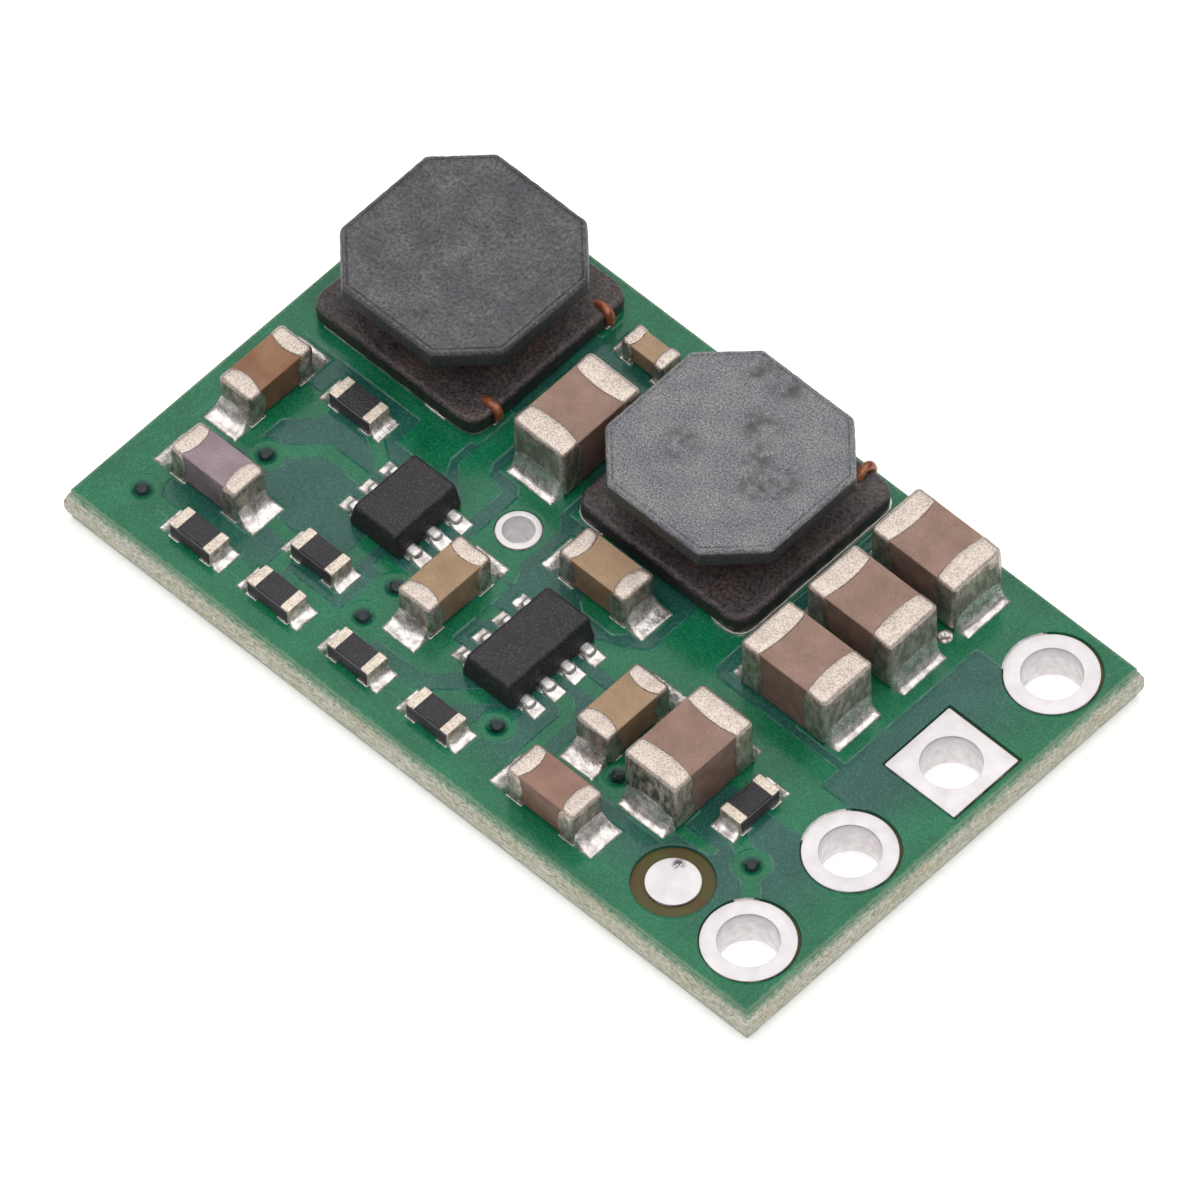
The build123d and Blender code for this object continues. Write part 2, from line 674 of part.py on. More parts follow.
def make_resistor_solder():
    """Solder at the resistors."""
    with BuildPart() as solder:
        for x, y, turn in RESISTORS.values():
            solder_case(x, y, turn, RESISTOR_CASE)
    save(solder, "solder_at_resistors")


def make_chip_solder():
    """Solder at the leads of the moulded chips."""
    start = CHIP_WIDTH / 2
    end = start + LEAD_REACH
    profile = joint_profile(start, end, end + LEAD_PAD_TOE, LEAD_THICKNESS - SOLDER_GAP)
    with BuildPart() as solder:
        for x, y, length, count in CHIPS.values():
            for side, row in lead_rows(x, y, count):
                with BuildSketch(upright(x, row, COPPER_TOP, 90 - 90 * side)):
                    with BuildLine():
                        Polyline(profile, close=True)
                    make_face()
                extrude(amount=LEAD_WIDTH / 2 + LEAD_PAD_SIDE, both=True)
    save(solder, "solder_at_chips")


def make_coil_solder():
    """Solder under the coils."""
    with BuildPart() as solder:
        for coil in COILS.values():
            for middle, length, width, way in coil_pads(*coil):
                with BuildSketch(seat(*middle, COPPER_TOP, way)):
                    Rectangle(length, width)
                extrude(amount=SOLDER_GAP)
    save(solder, "solder_at_coils")


os.makedirs("parts", exist_ok=True)
make_laminate()
make_copper()
make_top_mask()
make_under_mask()
for number, hole_place in enumerate(HOLES):
    is_square = number == SQUARE_HOLE
    make_plated_hole(f"terminal_hole_{number + 1}", hole_place, HOLE_RADIUS, RING_RADIUS, square=is_square)
make_plated_hole("small_hole", SMALL_HOLE, SMALL_HOLE_RADIUS, SMALL_RING_RADIUS, round_bore=False)
make_fiducial()
for key, capacitor in CAPACITORS.items():
    make_capacitor(key, *capacitor)
for key, resistor in RESISTORS.items():
    make_resistor_body(key, *resistor)
make_overcoats()
make_resistor_caps()
for key, chip in CHIPS.items():
    make_chip(key, *chip)
for key, coil_place in COILS.items():
    make_coil_core(key, *coil_place)
    make_coil_winding(key, *coil_place)
    make_coil_terminals(key, *coil_place)
make_capacitor_solder()
make_resistor_solder()
make_chip_solder()
make_coil_solder()
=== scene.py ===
"""Looks of a small voltage regulator module, built round its CAD parts. Sizes are in millimetres."""
import math
import random

import bpy
import numpy as np
from mathutils import Matrix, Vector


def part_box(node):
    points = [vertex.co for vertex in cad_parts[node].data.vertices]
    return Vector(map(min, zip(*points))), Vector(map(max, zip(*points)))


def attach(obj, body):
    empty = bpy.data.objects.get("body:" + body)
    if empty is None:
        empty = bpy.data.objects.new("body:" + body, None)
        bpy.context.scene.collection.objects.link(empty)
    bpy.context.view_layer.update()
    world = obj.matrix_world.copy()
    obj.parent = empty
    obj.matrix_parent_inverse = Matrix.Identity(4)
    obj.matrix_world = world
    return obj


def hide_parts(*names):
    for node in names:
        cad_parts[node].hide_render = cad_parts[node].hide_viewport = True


MM = 0.001

# Camera, fitted to the photograph
CAMERA_TURN = 44.7554
CAMERA_HEIGHT = 54.4520
CAMERA_ROLL = -1.4949
CAMERA_DISTANCE = 381.5434
CAMERA_TARGET = (-0.1189, 0.0553, 0)
CAMERA_LENS = 661.185
SENSOR = 36

# Light: a bright ceiling that fades out towards the horizon
CEILING_LIGHT = 1.62
CEILING_COLOUR = (1.0, 0.995, 0.985, 1)
CEILING_START = 0.52
CEILING_END = 0.70
HORIZON_SHARE = 0.13
FLOOR_GLOW = 0.22
FLOOR_SIZE = 400
FLOOR_COLOUR = (0.97, 0.97, 0.97, 1)
WHITE = (1, 1, 1, 1)

# Board
GRID_STEP = 0.05
MASK_TOP = 0.797
SKIRT_DROP = 0.06
LIP_TOP = 0.800
LIP_FOOT = 0.72
LIP_ROUNDING = 0.012
UNDER_LEVEL = 0.006
UNDER_SKIRT = 0.03
FADE = 0.3
RIM_GLOW = (0.3, 1.6)

# Broken rim of the board: least reach, slope, and the share, size and seed of each wave of its tears
EDGE_ROWS = 18
EDGE_STEP = 0.05
EDGE_OUT = 0.003
EDGE_SLOPE = 0.34
TORN_DEPTH = 0.012
TORN_WAVES = [(0.5, 0.16, 31), (0.6, 0.05, 32)]
RIM_CORNER = 0.015

# Vias under the mask, and the one that solder fills
TENTED_VIAS = [
    (-7.16, -4.04), (-6.10, -2.05), (-2.49, -2.55), (-2.475, -3.385), (0.82, -3.49), (3.085, -2.83),
    (6.03, -2.625),
]
FILLED_VIA = (5.17, 3.13)
VIA_RADIUS = 0.345
VIA_DIMPLE = 0.19
VIA_OVERLAP = 0.06
VIA_STEPS = 40
HOLLOW_DEPTH = 0.022
HOLLOW_SAG = 0.018
DOT_THICKNESS = 0.06
DOT_SCRATCH = (5.09, -3.45, 0.79)
# Place where the painted shade on the upright faces of the end caps is strongest
CAP_SHADE_CENTRE = (4.0, -3.1, 1.2)

# Terminal rings: bores, tops, half width of the square one, and where copper lies bare beside the round ones
BORE = 0.545
SMALL_BORE = 0.285
RING_HIGH = 0.825
RING_BEND = 0.03
RING_FEET = (0.04, 0.73)
BARREL_WALL = 0.06
SQUARE_RING = 3
SQUARE_HALF = 0.82
EXPOSED = {1: (127, 150), 2: (138, 207), 4: (143, 215)}
EXPOSED_LEVELS = (0.75, 0.799, 0.804)
TERMINAL_STEPS = 96
SMALL_STEPS = 64

# Openings of the mask: how far the lip's two edges and the rough cut under it lie from the pad's edge
TERMINAL_OPENING = (0.035, 0.15, 0.085)
SMALL_OPENING = (0.02, 0.11, 0.05)
OPENING_SHIFT = 0.025
DOT_OPENING = (0.745, 0.87, 0.79)
UNDER_GAP = 0.06
UNDER_SMALL_GAP = 0.04

ROUND_STEPS = 72
COLUMN_STEPS = 48

# Capacitors: ceramic of each, and the colours of each ceramic
CERAMICS = {
    1: "orange brown", 2: "mauve", 3: "tan", 4: "tan", 5: "tan", 6: "brown",
    7: "brown", 8: "red brown", 9: "brown", 10: "brown", 11: "brown", 12: "tan",
}
CERAMIC_COLOURS = {
    "brown": ((140, 111, 97), (161, 131, 118)),
    "orange brown": ((134, 94, 68), (158, 118, 92)),
    "red brown": ((140, 105, 89), (162, 127, 112)),
    "tan": ((157, 128, 98), (178, 149, 120)),
    "mauve": ((137, 119, 126), (163, 145, 151)),
}

# Cases by length: end cap, reach of the pad past the end and the side, rounding, and bulge of the cap's edge
CASES = {
    1.0: (0.22, 0.23, 0.04, 0.07, 0.07),
    1.6: (0.32, 0.42, 0.01, 0.11, 0.11),
    2.0: (0.46, 0.265, -0.06, 0.11, 0.08),
}
BAND_PLATING = 0.03
BAND_LIP = [(0.0, 0.06), (0.0, 0.026), (0.012, 0.010), (0.04, 0.0)]
BODY_SHORTER = 0.06
SEAT = 0.80

# Solder: depth of its bed, its lip, and the sheet that sweeps up the end of a part
SOLDER_BED = 0.03
SOLDER_LIP = 0.045
BED_OVERLAP = 0.05
RAMP_PARTS = 14
RAMP_RIM = 0.05
RAMP_OVERLAP = 0.012
RAMP_FOOT = 0.012
RAMP_LUMPS = 0.007

# Resistors
RESISTOR_LENGTH, RESISTOR_WIDTH, RESISTOR_HEIGHT = 1.0, 0.5, 0.32
STRIP_WIDTH = 0.20
RESISTOR_TOE = 0.23

# Chips: leads on a side, heights of the body, how far its top slopes in, and one lead with its solder
CHIP_LEADS = {"chip_6_lead": 3, "chip_8_lead": 4}
CHIP_HEIGHTS = (0.02, 0.14, 0.60)
CHIP_SLOPE = (0.10, 0.035)
CHIP_EDGE = 0.07
CHIP_CORNER = 0.07
LEAD_PITCH = 0.5
LEAD_MIDDLE = 0.67
LEAD_BLOCK = (0.17, 0.12, 0, 0.16, 0.09, 0.08)
LEAD_SOLDER = (0.72, 0.30, 0.15, 0.165, 0.13)
LEAD_BED = 0.15

# Coils: how far each is turned
COIL_TURNS = {"coil_1": 0, "coil_2": 90}
WIRE_EXITS = [(-1.32, -0.72), (1.50, 0.80)]
WIRE_RADIUS = 0.09
WINDING_RADIUS = 1.45
FLANGE_CUT = 0.90
FLANGE_THICKNESS = 0.42
FLANGE_CORNER = 0.14
BASE_THICKNESS = 0.39
COLUMN_RADIUS = 1.15
STRIP_HALF = 2.00
BASE_SHIFT = 0.10
FLANGE_HALF = 1.975
STRIP_PROUD = {"coil_1": -0.03, "coil_2": 0.02}
COIL_NUDGE = {"coil_1": (-0.03, 0), "coil_2": (-0.05, 0.04)}
WIRE_LIFT = {"coil_1": 0.0, "coil_2": 0.08}
STAINS = [(-0.10, 4.16), (0.65, 3.29), (1.07, 2.80), (1.50, 2.33), (1.76, 2.63), (-0.06, 2.10), (0.46, 4.27)]
BASE_CORNER = 0.35
BASE_EDGE = 1.25
COIL_TOP = 2.62
WINDING_TURNS = 4
TURN_STEPS = 60
WIRE_SHARE = 0.985

# Flange and base from the side: height over the underside, then depth below the top, each with an inset
FLANGE_FOOT = [(0, 1.0), (0, 0.5), (0, 0.05), (0.02, 0.012), (0.05, 0), (0.15, 0), (0.25, 0)]
FLANGE_TOP = [
    (0.10, 0.002), (0.065, 0.010), (0.03, 0.026), (0.008, 0.048), (0, 0.066), (0, 0.084), (0.006, 0.094),
    (0.024, 0.104), (0.026, 0.114), (0.008, 0.126), (0.004, 0.14), (0.004, 0.20), (0.004, 0.5), (0.004, 0.9),
    (0.004, 1.3),
]
BASE_FOOT = [(0, 0.03), (0.03, 0), (0.15, 0), (0.27, 0)]
BASE_TOP = [(0.07, 0.006), (0.03, 0.03), (0.008, 0.06), (0, 0.10), (0, 0.16), (0, 0.6), (0, 0.9)]

# Metal and solder under the coils: reach under the base, height and rounding; tabs under the wire ends
STRIP_BLOCK = (0.45, 0.06, 0.01)
BED_BLOCK = (0.46, 0.05, 0.02)
TAB_BLOCK = (0.15, 0.09, 0, 0.05, 0.03, 0.02)
TAB_BACK = 0.12

# Sliver of solder beside the rim of coil 1
SLIVER = (-4.58, 0.64)
SLIVER_BLOCK = (0.25, 0.05, 0, 0.06, 0.03, 0.02)

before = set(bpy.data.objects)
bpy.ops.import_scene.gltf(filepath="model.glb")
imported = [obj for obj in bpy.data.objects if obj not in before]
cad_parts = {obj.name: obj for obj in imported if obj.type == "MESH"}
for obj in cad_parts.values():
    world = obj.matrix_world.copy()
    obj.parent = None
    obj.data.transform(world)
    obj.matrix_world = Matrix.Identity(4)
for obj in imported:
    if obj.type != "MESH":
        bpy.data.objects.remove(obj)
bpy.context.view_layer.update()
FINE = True


def middle_and_size(node):
    """Middle and size of a CAD node, in millimetres."""
    low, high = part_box(node)
    low, high = np.array(low) / MM, np.array(high) / MM
    return (low + high) / 2, high - low


# Shapes: each is an array of points and a list of faces

def join(shapes):
    """Several shapes as one."""
    points, faces, count = [], [], 0
    for shape_points, shape_faces in shapes:
        points.append(shape_points)
        faces += [tuple(i + count for i in face) for face in shape_faces]
        count += len(shape_points)
    return np.vstack(points), faces


def moved(shape, place=(0, 0), z=0, turn=0):
    """A shape, turned about the upright axis and set down at a place."""
    points, faces = shape
    a = math.radians(turn)
    across = points[:, 0] * math.cos(a) - points[:, 1] * math.sin(a) + place[0]
    along = points[:, 0] * math.sin(a) + points[:, 1] * math.cos(a) + place[1]
    return np.column_stack((across, along, points[:, 2] + z)), faces


def ripple(points, size, seed, waves=8):
    """Smooth random wave over points, mostly from -1 to 1, with bumps of about one size."""
    source = random.Random(seed)
    total = np.zeros(len(points))
    for _ in range(waves):
        direction = np.array([source.gauss(0, 1) for _ in range(3)])
        total += np.sin(points @ direction * 2 / size + source.uniform(0, 2 * math.pi))
    return total / waves ** 0.5


def skin(rings, capped=True, looped=False, first=True):
    """Surface through closed rings of the same count of points, closed at its last ring or at both."""
    count = len(rings[0])
    faces = []
    for n in range(len(rings) if looped else len(rings) - 1):
        a = n * count
        b = (n + 1) % len(rings) * count
        for k in range(count):
            m = (k + 1) % count
            faces.append((a + k, a + m, b + m, b + k))
    if capped and first:
        faces.append(tuple(range(count))[::-1])
    if capped:
        faces.append(tuple(range((len(rings) - 1) * count, len(rings) * count)))
    return np.vstack(rings), faces


def outline(corners, radius, inset=0, arc_steps=4, side_parts=1):
    """Convex outline, drawn counter-clockwise, moved inwards and with its corners rounded."""
    corners = np.asarray(corners, float)
    ahead = np.roll(corners, -1, axis=0) - corners
    ahead /= np.linalg.norm(ahead, axis=1)[:, None]
    behind = np.roll(ahead, 1, axis=0)
    inward = np.column_stack((-ahead[:, 1], ahead[:, 0]))
    inward_behind = np.column_stack((-behind[:, 1], behind[:, 0]))
    bisector = (inward + inward_behind) / (1 + (inward * inward_behind).sum(1))[:, None]
    arc_radius = max(radius - inset, 0.004)
    centres = corners + bisector * (inset + arc_radius)
    turns = np.arctan2(
        behind[:, 0] * ahead[:, 1] - behind[:, 1] * ahead[:, 0],
        (behind * ahead).sum(1),
    )
    arcs = []
    for centre, start, turn in zip(centres, -inward_behind * arc_radius, turns):
        angles = turn * np.arange(arc_steps + 1) / arc_steps
        arcs.append(np.column_stack((
            centre[0] + start[0] * np.cos(angles) - start[1] * np.sin(angles),
            centre[1] + start[0] * np.sin(angles) + start[1] * np.cos(angles),
        )))
    points = []
    for arc, following in zip(arcs, arcs[1:] + arcs[:1]):
        points.append(arc)
        for k in range(1, side_parts):
            points.append((arc[-1] + (following[0] - arc[-1]) * k / side_parts)[None])
    return np.vstack(points)


def rectangle(half_x, half_y):
    """Corners of a rectangle round the origin."""
    return [(-half_x, -half_y), (half_x, -half_y), (half_x, half_y), (-half_x, half_y)]


def at_height(ring, height):
    """A flat ring as points at one height."""
    return np.column_stack((ring, np.full(len(ring), height)))


def raised(levels, radius, arc_steps=4, side_parts=1):
    """Solid through levels of height, corners and inset."""
    return skin([at_height(outline(corners, radius, inset, arc_steps, side_parts), height)
                 for height, corners, inset in levels])


def soft_block(half_x, half_y, low, high, corner, edge, foot=0.01):
    """Block with rounded upright corners and a rounded top edge."""
    corners = rectangle(half_x, half_y)
    levels = [(low, corners, foot), (low + foot, corners, 0)]
    for k in range(5):
        a = math.radians(22.5 * k)
        levels.append((high - edge + edge * math.sin(a), corners, edge * (1 - math.cos(a))))
    levels.append((high, corners, edge + 0.015))
    return raised(levels, corner)


def turned(profile, steps=ROUND_STEPS, looped=True, capped=True, first=True):
    """Round shape from a profile of radius and height. A looped profile closes on itself."""
    angles = 2 * math.pi * np.arange(steps) / steps
    circle = np.column_stack((np.cos(angles), np.sin(angles)))
    rings = [at_height(radius * circle, height) for radius, height in profile]
    return skin(rings, capped=capped and not looped, looped=looped, first=first)


def tube(path, radius, sides=12):
    """Round wire along a path of points, with closed ends."""
    path = np.asarray(path, float)
    ways = np.gradient(path, axis=0)
    ways /= np.linalg.norm(ways, axis=1)[:, None]
    across = np.cross(ways[0], (0.3, 0.2, 1.0))
    rings = []
    angles = 2 * math.pi * np.arange(sides) / sides
    for point, way in zip(path, ways):
        across = across - way * (across @ way)
        across /= np.linalg.norm(across)
        other = np.cross(way, across)
        rings.append(
            point + radius * (np.cos(angles)[:, None] * across + np.sin(angles)[:, None] * other)
        )
    return skin(rings)


def curve(points, parts=8):
    """Smooth path through points."""
    points = [np.asarray(p, float) for p in points]
    ends = [2 * points[0] - points[1], *points, 2 * points[-1] - points[-2]]
    path = []
    for a, b, c, d in zip(ends, ends[1:], ends[2:], ends[3:]):
        for k in range(parts):
            t = k / parts
            path.append(0.5 * (
                2 * b + (c - a) * t + (2 * a - 5 * b + 4 * c - d) * t * t + (3 * b - a - 3 * c + d) * t ** 3
            ))
    return path + [points[-1]]


def grid_cells(index):
    """Corners of each cell in a grid of point numbers."""
    return np.stack((index[:-1, :-1], index[1:, :-1], index[1:, 1:], index[:-1, 1:]), axis=-1)


def grid_skirt(index, first):
    """Rim of a grid, and the faces from it to a copy of it whose points start at a number."""
    rim = np.concatenate((index[:, 0], index[-1, 1:], index[-2::-1, -1], index[0, -2:0:-1]))
    lower = first + np.arange(len(rim))
    return rim, np.column_stack((rim, lower, np.roll(lower, -1), np.roll(rim, -1)))


def facing(mesh):
    """Direction that the surface faces at each point."""
    normals = np.zeros(len(mesh.vertices) * 3, np.float32)
    mesh.vertex_normals.foreach_get("vector", normals)
    return normals.reshape(-1, 3)


def give_numbers(mesh, name, numbers):
    """Stores a number at each point of a mesh."""
    attribute = mesh.attributes.new(name, "FLOAT", "POINT")
    attribute.data.foreach_set("value", np.ascontiguousarray(numbers, np.float32))


def placed(name, data):
    """New object in the scene."""
    made = bpy.data.objects.new(name, data)
    bpy.context.scene.collection.objects.link(made)
    return made


def piece(name, shape, look, replaces=(), crease=40, rough=None):
    """Mesh from a shape, as an object that rides on the board and stands for CAD nodes."""
    points, faces = shape
    mesh = bpy.data.meshes.new(name)
    mesh.from_pydata((points * MM).tolist(), [], faces)
    mesh.update()
    if rough:
        depth, size, seed = rough
        shift = ripple(points, size, seed)[:, None] * depth * facing(mesh)
        mesh.vertices.foreach_set("co", ((points + shift) * MM).astype(np.float32).ravel())
        mesh.update()
    give_numbers(mesh, "rise", facing(mesh)[:, 2])
    mesh.polygons.foreach_set("use_smooth", [True] * len(faces))
    mesh.set_sharp_from_angle(angle=math.radians(crease))
    mesh.materials.append(look)
    made = placed(name, mesh)
    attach(made, "root")
    if replaces:
        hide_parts(*replaces)
    return mesh


# Materials

def linear(colour):
    """Colour as 0 to 255 numbers, made ready for the renderer."""
    parts = [c / 255 for c in colour]
    return (*[c / 12.92 if c <= 0.04045 else ((c + 0.055) / 1.055) ** 2.4 for c in parts], 1)


def dimmed(share, colour):
    """A colour made darker, or brighter where the share is above 1."""
    return tuple(share * c for c in colour)


def add_node(tree, kind, inputs, **settings):
    """Shader node with its settings, and with each input given a value or joined to a socket."""
    made = tree.nodes.new("ShaderNode" + kind)
    for key, value in settings.items():
        setattr(made, key, value)
    for key, value in inputs.items():
        if isinstance(value, bpy.types.NodeSocket):
            tree.links.new(value, made.inputs[key])
        else:
            made.inputs[key].default_value = value
    return made


class Look:
    """Material with a few short ways to add nodes to it."""

    def __init__(self, name, roughness, metallic=0.0, gloss=0.5):
        self.material = bpy.data.materials.new(name)
        self.material.use_nodes = True
        self.tree = self.material.node_tree
        self.shader = self.tree.nodes["Principled BSDF"]
        self.set({"Roughness": roughness, "Metallic": metallic, "Specular IOR Level": gloss})
        self.place = self.add("TexCoord", {}).outputs["Object"]
        self.normal = None

    def set(self, values):
        """Sets plain values of the shader."""
        for key, value in values.items():
            self.shader.inputs[key].default_value = value

    def add(self, kind, inputs, **settings):
        """Adds a node to the material."""
        return add_node(self.tree, kind, inputs, **settings)

    def feed(self, key, socket):
        """Joins a socket to an input of the shader."""
        self.tree.links.new(socket, self.shader.inputs[key])

    def colour(self, socket):
        """Sets the base colour."""
        self.feed("Base Color", socket)

    def noise(self, size, detail=2.0, stretch=(1, 1, 1)):
        """Noise with marks of about one size. A stretch above 1 makes them longer that way."""
        scale = [1 / (MM * size * way) for way in stretch]
        spread = self.add("Mapping", {"Vector": self.place, "Scale": scale}).outputs["Vector"]
        return self.add("TexNoise", {"Vector": spread, "Scale": 1.0, "Detail": detail}).outputs["Fac"]

    def attribute(self, name):
        """A number that each point of the mesh carries."""
        return self.add("Attribute", {}, attribute_name=name).outputs["Fac"]

    def gap(self, place):
        """Distance of the surface from a place, in millimetres."""
        there = [c * MM for c in place]
        gap = self.add("VectorMath", {0: self.place, 1: there}, operation="DISTANCE").outputs["Value"]
        return self.times(gap, 1 / MM)

    def level(self):
        """Height of the surface, in millimetres."""
        return self.times(self.add("SeparateXYZ", {"Vector": self.place}).outputs["Z"], 1 / MM)

    def step(self, value, low, high, first=0.0, last=1.0):
        """Soft step from one number to another."""
        inputs = {"Value": value, "From Min": low, "From Max": high, "To Min": first, "To Max": last}
        return self.add("MapRange", inputs, interpolation_type="SMOOTHSTEP").outputs["Result"]

    def ramp(self, value, stops):
        """Colours along a number."""
        made = self.add("ValToRGB", {"Fac": value})
        marks = made.color_ramp.elements
        while len(marks) < len(stops):
            marks.new(0.5)
        for mark, (at, colour) in zip(marks, stops):
            mark.position = at
            mark.color = linear(colour)
        return made.outputs["Color"]

    def blend(self, value, first, second):
        """One colour where a noise is low and another where it is high."""
        return self.ramp(value, [(0.3, first), (0.7, second)])

    def mix(self, share, first, second):
        """Mix of two colours."""
        return self.add("Mix", {"Factor": share, 6: first, 7: second}, data_type="RGBA").outputs[2]

    def math(self, kind, first, second):
        """Sum done on two numbers; the second may be a plain number."""
        return self.add("Math", {0: first, 1: second}, operation=kind).outputs[0]

    def times(self, first, second):
        """Product of two numbers."""
        return self.math("MULTIPLY", first, second)

    def relief(self, height, depth, strength=1.0):
        """Adds raised marks, on top of those that were added before."""
        inputs = {"Strength": strength, "Distance": depth * MM, "Height": height}
        if self.normal:
            inputs["Normal"] = self.normal
        self.normal = self.add("Bump", inputs).outputs["Normal"]
        self.feed("Normal", self.normal)


def mask_look():
    """Green mask: brighter over the copper and near the rim, where light comes through, and teal between,
    with a painted highlight along the edges of the copper.
    """
    look = Look("solder mask", roughness=0.17, gloss=0.36)
    edge = look.attribute("edge")
    shore = look.attribute("shore")
    cloud = look.noise(0.9, 3.0)
    over = look.math("MAXIMUM", look.step(edge, -0.035, 0.025), look.step(shore, *RIM_GLOW, 1.0, 0.0))
    between = look.blend(cloud, (28, 78, 70), (38, 92, 82))
    copper = look.blend(cloud, (8, 98, 62), (18, 114, 76))
    base = look.mix(over, between, copper)
    # Painted highlight: a pale line just outside the edges of the copper, broken up by noise and kept away
    # from the rim.
    painted_shading_line = look.times(look.step(edge, -0.045, -0.025), look.step(edge, -0.02, 0.0, 1.0, 0.0))
    inland = look.step(shore, 0.25, 0.9)
    pale = look.blend(cloud, (84, 150, 124), (110, 170, 146))
    share = look.times(painted_shading_line, look.step(look.noise(0.5), 0.42, 0.66, 0.0, 0.45))
    base = look.mix(look.times(share, inland), base, pale)
    torn = look.math("SUBTRACT", shore, look.times(look.noise(0.1, 3.0), 0.09))
    fringe = look.step(torn, -0.03, 0.01, 0.45, 0.0)
    base = look.mix(fringe, base, look.blend(cloud, (104, 136, 104), (136, 156, 124)))
    grain = look.noise(0.03, 3.0)
    bright = look.blend(cloud, (90, 152, 132), (100, 162, 142))
    base = look.mix(look.step(grain, 0.5, 0.66, 0.0, 0.18), base, bright)
    deep = look.blend(cloud, (4, 52, 42), (6, 60, 48))
    look.colour(look.mix(look.step(grain, 0.34, 0.5, 0.35, 0.0), base, deep))
    look.relief(look.times(look.step(edge, -0.05, 0.01), inland), 0.010)
    look.relief(look.noise(0.35, 2.0), 0.006, 0.5)
    look.relief(look.noise(0.06, 2.0), 0.0016, 0.6)
    return look.material


def via_look():
    """Mask that has sunk into a via, with painted shade that darkens it towards the middle; its small glints
    come from bumps.
    """
    look = Look("sunken mask", roughness=0.16, gloss=0.4)
    reach = look.math("ADD", look.attribute("reach"), look.times(look.noise(0.09, 3.0), 0.4))
    reach = look.math("SUBTRACT", reach, 0.2)
    # Painted shade: near black in the middle of the hollow, turning to mask green at its rim.
    stops = [(0.25, (4, 26, 28)), (0.58, (4, 36, 34)), (0.82, (8, 70, 54)), (1.0, (10, 96, 68))]
    look.colour(look.ramp(reach, stops))
    look.relief(look.step(reach, 0.3, 1.0), 0.05, 0.8)
    return look.material


def laminate_look():
    """Broken edge of the board: pale, finely torn glass fibre with faint olive layers."""
    look = Look("glass fibre laminate", roughness=0.65, gloss=0.3)
    fibre = look.noise(0.05, 4.0, (1.8, 1.8, 0.8))
    layer = look.noise(0.12, 3.0, (9.0, 9.0, 0.6))
    speck = look.noise(0.035, 3.0)
    height = look.attribute("height")
    pale = look.ramp(fibre, [(0.3, (150, 150, 132)), (0.5, (186, 185, 170)), (0.7, (214, 212, 202))])
    olive = look.blend(fibre, (156, 152, 112), (194, 186, 146))
    green = look.ramp(fibre, [(0.35, (86, 132, 104)), (0.65, (150, 172, 148))])
    dark = look.blend(fibre, (104, 100, 78), (136, 130, 106))
    base = look.mix(look.step(layer, 0.48, 0.72, 0.0, 0.7), pale, olive)
    base = look.mix(look.step(speck, 0.56, 0.7, 0.0, 0.85), base, dark)
    torn = look.math("ADD", height, look.times(look.noise(0.12, 3.0), 0.22))
    look.colour(look.mix(look.step(torn, 0.93, 1.06), base, green))
    look.relief(fibre, 0.02, 0.8)
    look.relief(speck, 0.01, 0.7)
    return look.material


def substrate_look():
    """Bare laminate in an opening of the mask."""
    look = Look("bare laminate", roughness=0.45, gloss=0.3)
    cloud = look.noise(0.6, 3.0)
    look.colour(look.ramp(cloud, [(0.35, (82, 64, 38)), (0.65, (78, 82, 36))]))
    look.relief(look.noise(0.08, 2.0), 0.004, 0.6)
    return look.material


def ring_look(name="tinned pad", scratch=None):
    """White tin on the terminal rings and the dot, with painted light on its upright walls and a painted
    shade line just below the tops.
    """
    look = Look(name, roughness=0.45, metallic=0.1)
    cloud = look.noise(0.35, 3.0)
    base = look.blend(cloud, (222, 216, 219), (238, 233, 235))
    # Painted light: upright walls, such as the bores, take a brighter colour than the tops.
    wall = look.step(look.attribute("rise"), 0.3, 0.6, 1.0, 0.0)
    base = look.mix(wall, base, look.blend(look.noise(0.14, 4.0), (222, 216, 216), (250, 247, 248)))
    # Painted shade: a dark band on the upright faces just below the top of each ring, broken up by noise.
    level = look.level()
    painted_shading_line = look.times(look.step(level, 0.71, 0.735), look.step(level, 0.795, 0.81, 1.0, 0.0))
    painted_shading_line = look.times(painted_shading_line, look.step(look.noise(0.2), 0.3, 0.6, 0.6, 1.0))
    dull = look.blend(cloud, (76, 72, 70), (118, 114, 111))
    base = look.mix(look.times(painted_shading_line, wall), base, dull)
    if scratch:
        near = look.step(look.gap(scratch), 0.03, 0.17, 1.0, 0.0)
        mark = look.times(near, look.step(look.noise(0.06, 3.0, (0.7, 2.4, 1.0)), 0.44, 0.56))
        base = look.mix(mark, base, look.blend(cloud, (52, 44, 42), (104, 92, 88)))
    look.colour(base)
    look.relief(look.noise(0.5, 2.0), 0.008, 0.5)
    look.relief(look.noise(0.06, 3.0), 0.0025, 0.6)
    return look.material


def solder_look():
    """Bright solder with fine grain."""
    look = Look("solder", roughness=0.32, metallic=0.82)
    grain = look.noise(0.05, 3.0)
    look.colour(look.ramp(look.noise(0.16, 3.0), [(0.35, (186, 179, 176)), (0.6, (238, 232, 229))]))
    look.feed("Roughness", look.step(grain, 0.35, 0.65, 0.22, 0.46))
    look.relief(look.noise(0.14, 3.0), 0.02, 0.55)
    look.relief(grain, 0.006, 0.75)
    return look.material


def lead_look():
    """Tin on the leads of the chips and on the strips under the coils."""
    look = Look("tinned lead", roughness=0.34, metallic=0.8)
    look.colour(look.blend(look.noise(0.12, 3.0), (190, 184, 182), (234, 230, 228)))
    look.relief(look.noise(0.08, 3.0), 0.008, 0.6)
    return look.material


